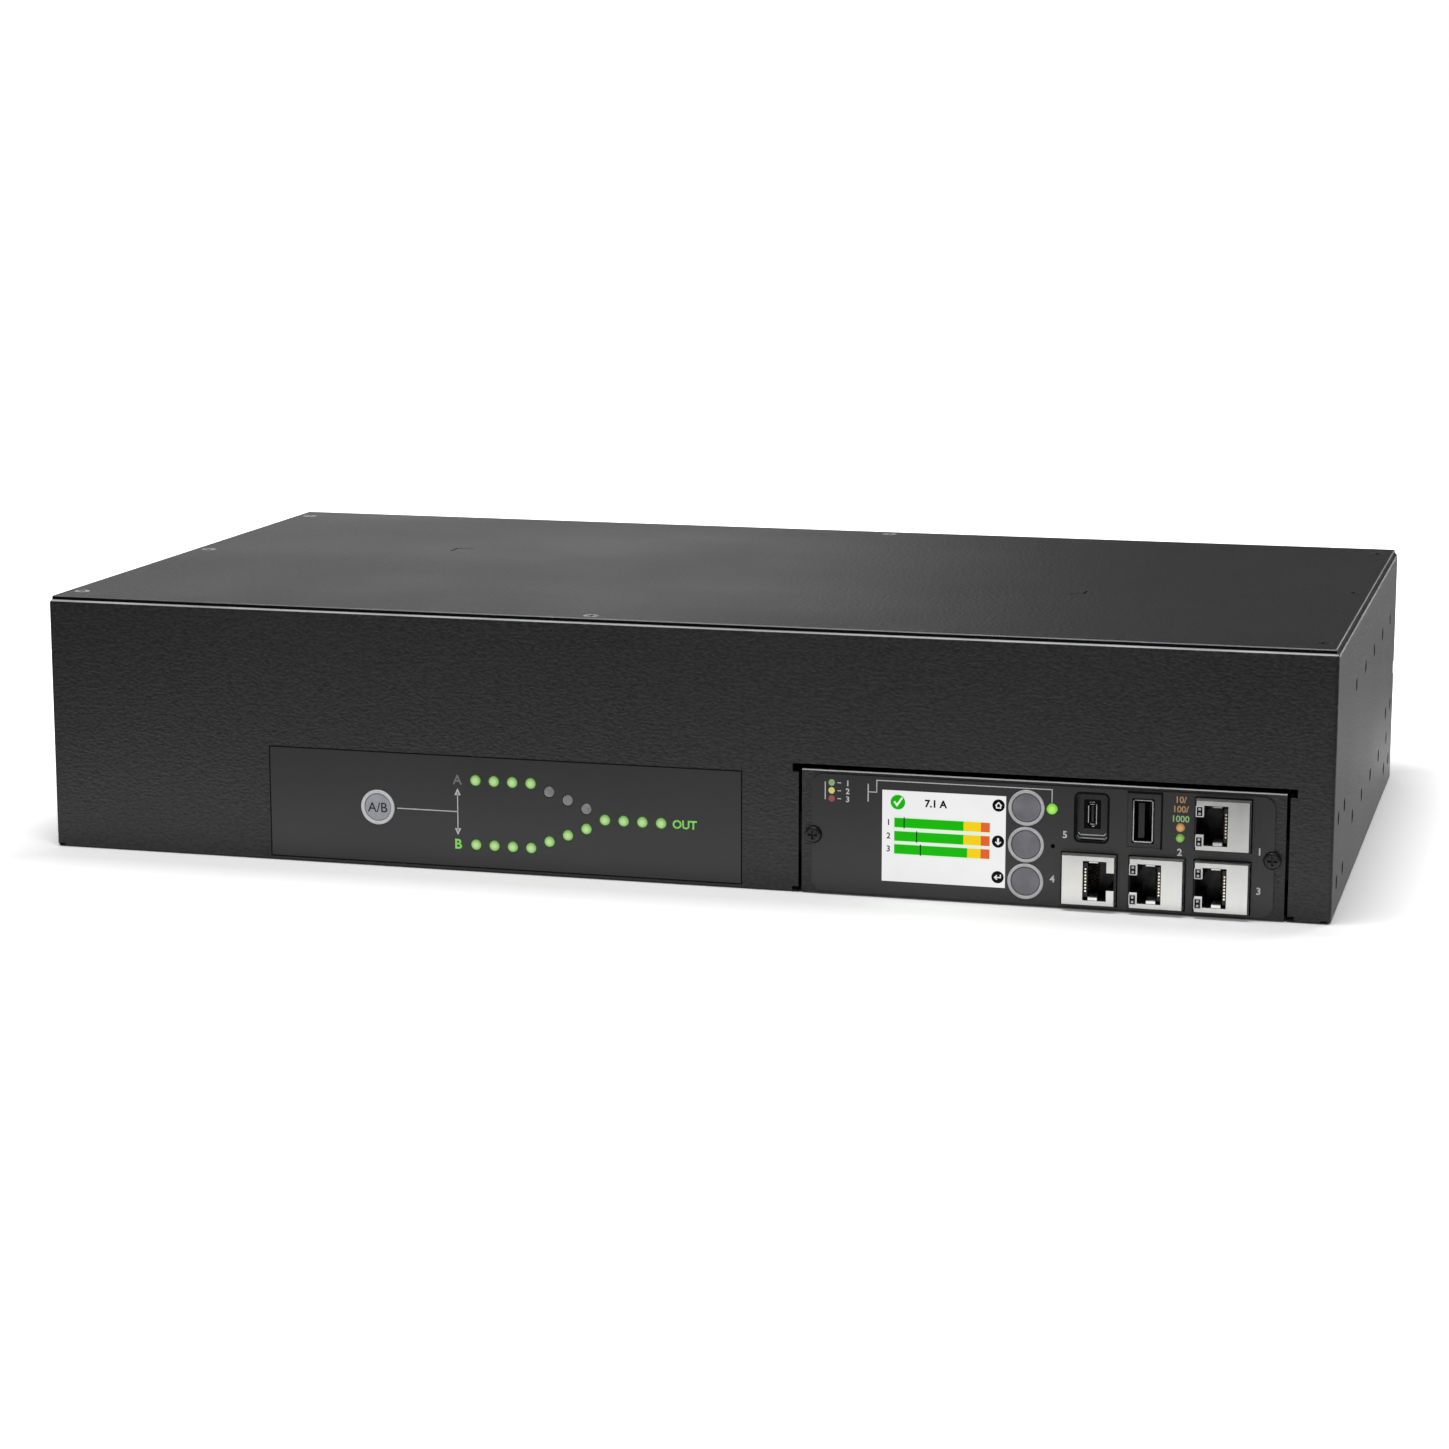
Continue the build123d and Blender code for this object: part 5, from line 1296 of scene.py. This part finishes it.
# %% Print on the back
FIGURE_HEIGHT = 2.2
ROW_LABEL = 3.6
GLAND_LETTER, BREAKER_LETTER, MARK_RISE = 20.5, 4.5, 16.5
SIGN_RISE, SIGN_LINE = 10.5, 0.45
SIGN_RING = (3.6, 3.2)
SIGN_BARS = ((1.9, 0.0), (1.2, -0.9), (0.5, -1.8))
panel_ink = ink_on(BACK, facing=-1)
panel_print = bmesh.new()
between_rows = (first_small.z + below_small.z) / 2
for node in plain_finishes[outlet_nylon]:
    x, z = centre(node).xz
    number = int(node.split("_")[-1]) + (0 if node.startswith("small") else 2 * SMALL_COLUMNS)
    label_z = between_rows + math.copysign(ROW_LABEL, z - between_rows)
    lettering(panel_print, str(number), x, label_z, FIGURE_HEIGHT, *panel_ink, facing=-1)
for letter in ("a", "b"):
    gland_x, gland_z = centre("cord_gland_" + letter).xz
    x, z = centre("breaker_body_" + letter).xz
    breaker_high = corners("breaker_body_" + letter)[1]
    bezel_ink = ink_on(breaker_high.y, facing=-1)
    for text, mark_x, mark_z, depths in (
        (letter.upper(), gland_x + GLAND_LETTER, gland_z, panel_ink),
        (letter.upper(), x, breaker_high.z + BREAKER_LETTER, panel_ink),
        ("I", x, z + MARK_RISE, bezel_ink),
        ("O", x, z - MARK_RISE, bezel_ink),
    ):
        lettering(panel_print, text, mark_x, mark_z, LETTER_HEIGHT, *depths, facing=-1)
stud_middle = centre("earth_stud")
sign = (stud_middle.x, stud_middle.z + SIGN_RISE)
sign_lines = [[(0.0, 2.2), (0.0, 0.0)], *([(-half, rise), (half, rise)] for half, rise in SIGN_BARS)]
for points in sign_lines:
    plate(panel_print, stroke([(sign[0] + x, sign[1] + z) for x, z in points], SIGN_LINE), *panel_ink)
window_frame(panel_print, *(disc(*sign, radius) for radius in SIGN_RING), *panel_ink)
make_piece("panel_print", panel_print, [ink["white"]])

# %% [markdown]
# The earth stud has a real thread: a helix is a curve, and a triangular section
# swept along it gives the flanks. It runs on a core that is as thick as the
# thread is deep inside, so the stud keeps its outer size.

# %% The tree that makes a threaded stud
stud_tree, given = new_tree(
    "threaded_stud",
    Float=["Length", "Radius", "Thread Depth", "Pitch", "Flange Radius", "Flange Thickness"],
    Vector=["Place"],
    Material=["Metal"],
)


def standing_cylinder(tree, radius, length, sides):
    """A cylinder that stands on the origin."""
    sizes = {"Vertices": sides, "Radius": radius, "Depth": length}
    body = add(tree, "GeometryNodeMeshCylinder", sizes)
    half = add(tree, MATH, [length, 0.5], operation="MULTIPLY")
    return add(tree, MOVE, {"Geometry": body, "Translation": add(tree, XYZ, {"Z": half})})


core_radius = add(stud_tree, MATH, [given["Radius"], given["Thread Depth"]], operation="SUBTRACT")
all_turns = add(stud_tree, MATH, [given["Length"], given["Pitch"]], operation="DIVIDE")
turns = add(stud_tree, MATH, [all_turns, 1.0], operation="SUBTRACT")
spiral = {
    "Resolution": 28,
    "Rotations": turns,
    "Start Radius": core_radius,
    "End Radius": core_radius,
    "Height": add(stud_tree, MATH, [turns, given["Pitch"]], operation="MULTIPLY"),
}
helix = add(stud_tree, "GeometryNodeCurveSpiral", spiral)
flank = add(stud_tree, CIRCLE, {"Resolution": 4, "Radius": given["Thread Depth"]})
thread = add(stud_tree, TO_MESH, {"Curve": helix, "Profile Curve": flank, "Fill Caps": True})
half_pitch = add(stud_tree, MATH, [given["Pitch"], 0.5], operation="MULTIPLY")
up = add(stud_tree, XYZ, {"Z": half_pitch})
thread = add(stud_tree, MOVE, {"Geometry": thread, "Translation": up})
core = standing_cylinder(stud_tree, core_radius, given["Length"], 32)
flange = standing_cylinder(stud_tree, given["Flange Radius"], given["Flange Thickness"], 48)
whole = add(stud_tree, JOIN, [[thread, core, flange]])
to_back = {"Rotation": (-QUARTER_TURN, 0.0, 0.0), "Translation": given["Place"]}
end_tree(stud_tree, add(stud_tree, MOVE, {"Geometry": whole, **to_back}), given["Metal"])

# %% [markdown]
# The stud is turned from brass and carries an M5 thread, whose pitch is 0.8
# millimetres. It takes the place of the plain CAD stud and keeps its length and
# its flange.

# %% The earth stud
THREAD_RADIUS, THREAD_DEPTH, THREAD_PITCH = 2.5, 0.45, 0.8
FLANGE_THICKNESS = 1.5
stud_low, stud_high = corners("earth_stud")
stud_values = {
    "Place": metres(stud_middle.x, BACK, stud_middle.z),
    "Length": (stud_high.y - BACK) * MM,
    "Radius": THREAD_RADIUS * MM,
    "Thread Depth": THREAD_DEPTH * MM,
    "Pitch": THREAD_PITCH * MM,
    "Flange Radius": (stud_high.x - stud_low.x) / 2 * MM,
    "Flange Thickness": FLANGE_THICKNESS * MM,
    "Metal": brass,
}
grow("earth_stud_thread", stud_tree, stud_values, replaces=["earth_stud"])

# %% [markdown]
# A gland is tightened by hand, so its dome has ribs to grip. They stand in a
# circle, each one turned to face outwards, which an index and a full turn give.

# %% The tree that makes a ring of ribs
rib_tree, given = new_tree(
    "grip_ribs", Int=["Count"], Float=["Ring Radius"], Vector=["Rib Size", "Place"], Material=["Plastic"]
)
index = add(rib_tree, "GeometryNodeInputIndex")
turn_share = add(rib_tree, MATH, [index, given["Count"]], operation="DIVIDE")
angle = add(rib_tree, MATH, [turn_share, 2 * math.pi], operation="MULTIPLY")
across = add(rib_tree, MATH, [angle], operation="COSINE")
along = add(rib_tree, MATH, [angle], operation="SINE")
ring_x = add(rib_tree, MATH, [across, given["Ring Radius"]], operation="MULTIPLY")
ring_y = add(rib_tree, MATH, [along, given["Ring Radius"]], operation="MULTIPLY")
ring = add(rib_tree, POINTS, [given["Count"], add(rib_tree, XYZ, {"X": ring_x, "Y": ring_y})])
rib = add(rib_tree, "GeometryNodeMeshCube", [given["Rib Size"]])
outwards = add(rib_tree, XYZ, {"Z": angle})
ribs = add(rib_tree, INSTANCES, {"Points": ring, "Instance": rib, "Rotation": outwards})
to_back = {"Rotation": (-QUARTER_TURN, 0.0, 0.0), "Translation": given["Place"]}
end_tree(rib_tree, add(rib_tree, MOVE, {"Geometry": ribs, **to_back}), given["Plastic"])

# %% [markdown]
# A gland is moulded from nylon, and the seal in its mouth from black rubber. The
# seal has a soft lip that grips the cord, so its section turns in at its end.

# %% Ribs and seals of the cord glands
RIB_COUNT = 20
DOME_RADIUS, DOME_START, RIB_GAP = 13.2, 7.0, 0.4
RIB_WIDTH, RIB_HEIGHT, RIB_LENGTH = 0.9, 1.6, 7.5
SEAL = [(7.3, -5.0), (7.3, -1.6), (6.9, -1.2), (6.4, -1.8), (6.4, -5.0)]
for letter in ("a", "b"):
    gland_x, gland_z = centre("cord_gland_" + letter).xz
    mouth_y = corners("cord_gland_" + letter)[1].y
    values = {
        "Count": RIB_COUNT,
        "Ring Radius": DOME_RADIUS * MM,
        "Rib Size": metres(RIB_WIDTH, RIB_HEIGHT, RIB_LENGTH),
        "Place": metres(gland_x, BACK + DOME_START + RIB_GAP + RIB_LENGTH / 2, gland_z),
        "Plastic": gland_nylon,
    }
    grow(f"gland_{letter}_ribs", rib_tree, values)
    seal = bmesh.new()
    turn(seal, gland_x, gland_z, [(radius, mouth_y + depth) for radius, depth in SEAL])
    make_piece(f"gland_{letter}_seal", seal, [socket_black])

# %% [markdown]
# The studio is plain: a white floor that runs out of sight, a soft white world
# and three soft boxes. Mirror and glass rays see a white band at the horizon and a
# dim room elsewhere, which is what makes black paint look black, and the camera
# sees the world as pure white.

# %% World
AMBIENT = 0.45
DIM_ROOM = 0.07
BAND_HEIGHT, BAND_FADE = 0.03, 0.09
WHITE_LIGHT = linear("ffffff")


def mirror_rays(tree):
    """The light paths of a tree, and one where a mirror or glass ray meets the surface, else nought."""
    rays = add(tree, "ShaderNodeLightPath").outputs
    return rays, add(tree, MATH, [rays["Is Glossy Ray"], rays["Is Transmission Ray"]], operation="MAXIMUM")


world = bpy.data.worlds.new("white_studio")
scene.world = world
world.use_nodes = True
tree = world.node_tree
tree.nodes.clear()
rays, mirrored = mirror_rays(tree)
direction = add(tree, "ShaderNodeTexCoord").outputs["Generated"]
height = add(tree, "ShaderNodeSeparateXYZ", [direction]).outputs["Z"]
steepness = add(tree, MATH, [height], operation="ABSOLUTE")
fade = {"From Min": BAND_HEIGHT, "From Max": BAND_FADE, "To Min": 1.0, "To Max": DIM_ROOM}
band = add(tree, SPREAD, {"Value": steepness, **fade})
level = add(tree, BLEND, [mirrored, AMBIENT, band], data_type="FLOAT")
level = add(tree, BLEND, [rays["Is Camera Ray"], level, 1.0], data_type="FLOAT")
light = add(tree, "ShaderNodeBackground", [WHITE_LIGHT, level])
add(tree, "ShaderNodeOutputWorld", [light])
print("the world is a tree of", len(tree.nodes), "nodes")

# %% [markdown]
# The floor keeps the soft shadow under the case and glows to pure white further
# out. In mirrors it is a bright strip in front of the case and behind it and dim
# at the sides, so that black paint runs lighter towards the floor. It lies just
# inside the tray's sheet, so that it and the underside are not in one plane.

# %% Floor
FLOOR_HALF, FLOOR_RISE = 30.0, 0.02 * MM
FLOOR_LIFT, MIRROR_LIFT = 0.1, 1.25
STRIP_START, SWEEP_START, TABLE_REACH = 0.002, 0.08, 0.18
floor_mesh = bpy.data.meshes.new("floor")
floor_corners = [(*corner, FLOOR_RISE) for corner in bar(0.0, 0.0, 2 * FLOOR_HALF, 2 * FLOOR_HALF)]
floor_mesh.from_pydata(floor_corners, [], [(0, 1, 2, 3)])
floor = bpy.data.objects.new("floor", floor_mesh)
scene.collection.objects.link(floor)
floor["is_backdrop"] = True
# matt paper white with hardly any pattern
floor_paint = finish("matt_white_floor", "eeeeee", "f2f2f2", (0.9, 0.95), 200.0, 2.0, 0.0)
floor_mesh.materials.append(floor_paint)

tree = floor_paint.node_tree
paint = tree.nodes["Principled BSDF"]
rays, mirrored = mirror_rays(tree)
place = add(tree, "ShaderNodeTexCoord").outputs["Object"]
from_axes = add(tree, VECTOR_MATH, [place], operation="ABSOLUTE")
beyond = add(tree, VECTOR_MATH, [from_axes, (cad_high - cad_low) / 2], operation="SUBTRACT")
beyond = add(tree, VECTOR_MATH, [beyond, (0.0, 0.0, 0.0)], operation="MAXIMUM")
distance = add(tree, VECTOR_MATH, [beyond], operation="LENGTH")
fade = {"From Max": SWEEP_START, "To Min": FLOOR_LIFT, "To Max": 1.0}
seen = add(tree, SPREAD, {"Value": distance, **fade})
seen = add(tree, MATH, [seen, rays["Is Camera Ray"]], operation="MULTIPLY")
ahead = add(tree, "ShaderNodeSeparateXYZ", [beyond]).outputs["Y"]
strip = add(tree, SPREAD, {"Value": ahead, "From Max": STRIP_START, "To Max": MIRROR_LIFT})
lift = add(tree, MATH, [mirrored, strip, seen], operation="MULTIPLY_ADD")
fill(tree, paint.inputs["Emission Color"], WHITE_LIGHT)
fill(tree, paint.inputs["Emission Strength"], lift)
far_share = add(tree, SPREAD, {"Value": distance, "From Max": TABLE_REACH})
far_share = add(tree, MATH, [far_share, mirrored], operation="MULTIPLY")
room = add(tree, "ShaderNodeEmission", [WHITE_LIGHT, DIM_ROOM])
surface = add(tree, "ShaderNodeMixShader", [far_share, paint, room])
fill(tree, tree.nodes["Material Output"].inputs["Surface"], surface)
print("the floor's finish is a tree of", len(tree.nodes), "nodes")

# %% [markdown]
# A high soft box lights the front and the lid, one behind gives the lid its run
# of light, and one low at the side lights the right wall. All are large, because
# a large light gives soft edges to its reflections in a coated sheet.

# %% Soft boxes


def soft_box(name, place, aim, width, depth, watts):
    """A rectangular area lamp at a place in metres, turned to a point."""
    lamp = bpy.data.lights.new(name, "AREA")
    lamp.shape = "RECTANGLE"
    lamp.size = width
    lamp.size_y = depth
    lamp.energy = watts
    holder = bpy.data.objects.new(name, lamp)
    scene.collection.objects.link(holder)
    holder.location = place
    holder.rotation_euler = (Vector(aim) - Vector(place)).to_track_quat("-Z", "Y").to_euler()
    print(name, "gives", watts, "watts")


soft_box("high_box", (-0.1, -0.45, 1.5), aim=(0.0, 0.0, 0.0), width=1.3, depth=0.35, watts=14.0)
soft_box("back_box", (-0.7, 1.5, 0.4), aim=(-0.1, 0.0, 0.08), width=0.9, depth=0.5, watts=2.6)
soft_box("side_box", (0.9, 1.0, 0.34), aim=(0.2, 0.0, 0.04), width=0.5, depth=0.5, watts=8.8)

# %% [markdown]
# The camera stands a little to the right and looks down on the case, as in the
# picture that the lesson follows. Its place, turn and lens were worked out from
# the corners of the case, whose real sizes are known.

# %% Camera
PICTURE_WIDTH, FOCAL_PIXELS = 1449, 3472.1
SENSOR = 36.0
CAMERA_PLACE = (306.4, -1179.0, 262.6)
LOOK_DOWN, LOOK_ROUND = 10.738, 15.053
NEAREST, FURTHEST = 0.05, 100.0
camera_data = bpy.data.cameras.new("camera")
camera_data.sensor_width = SENSOR
camera_data.lens = FOCAL_PIXELS / PICTURE_WIDTH * SENSOR
camera_data.clip_start = NEAREST
camera_data.clip_end = FURTHEST
camera = bpy.data.objects.new("camera", camera_data)
scene.collection.objects.link(camera)
camera.location = metres(*CAMERA_PLACE)
camera.rotation_euler = (math.radians(90 - LOOK_DOWN), 0.0, math.radians(LOOK_ROUND))
scene.camera = camera
scene.view_settings.view_transform = "Standard"
print("lens in mm:", round(camera_data.lens, 1))

# %% [markdown]
# Last, the outside size of the dressed part is printed, to set beside the CAD
# model's size printed at the start. Print and domes may stand out by hundredths
# of a millimetre, and no more.

# %% Print the dressed size
low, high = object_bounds()
print("dressed size in mm:", [round(side / MM, 2) for side in high - low])
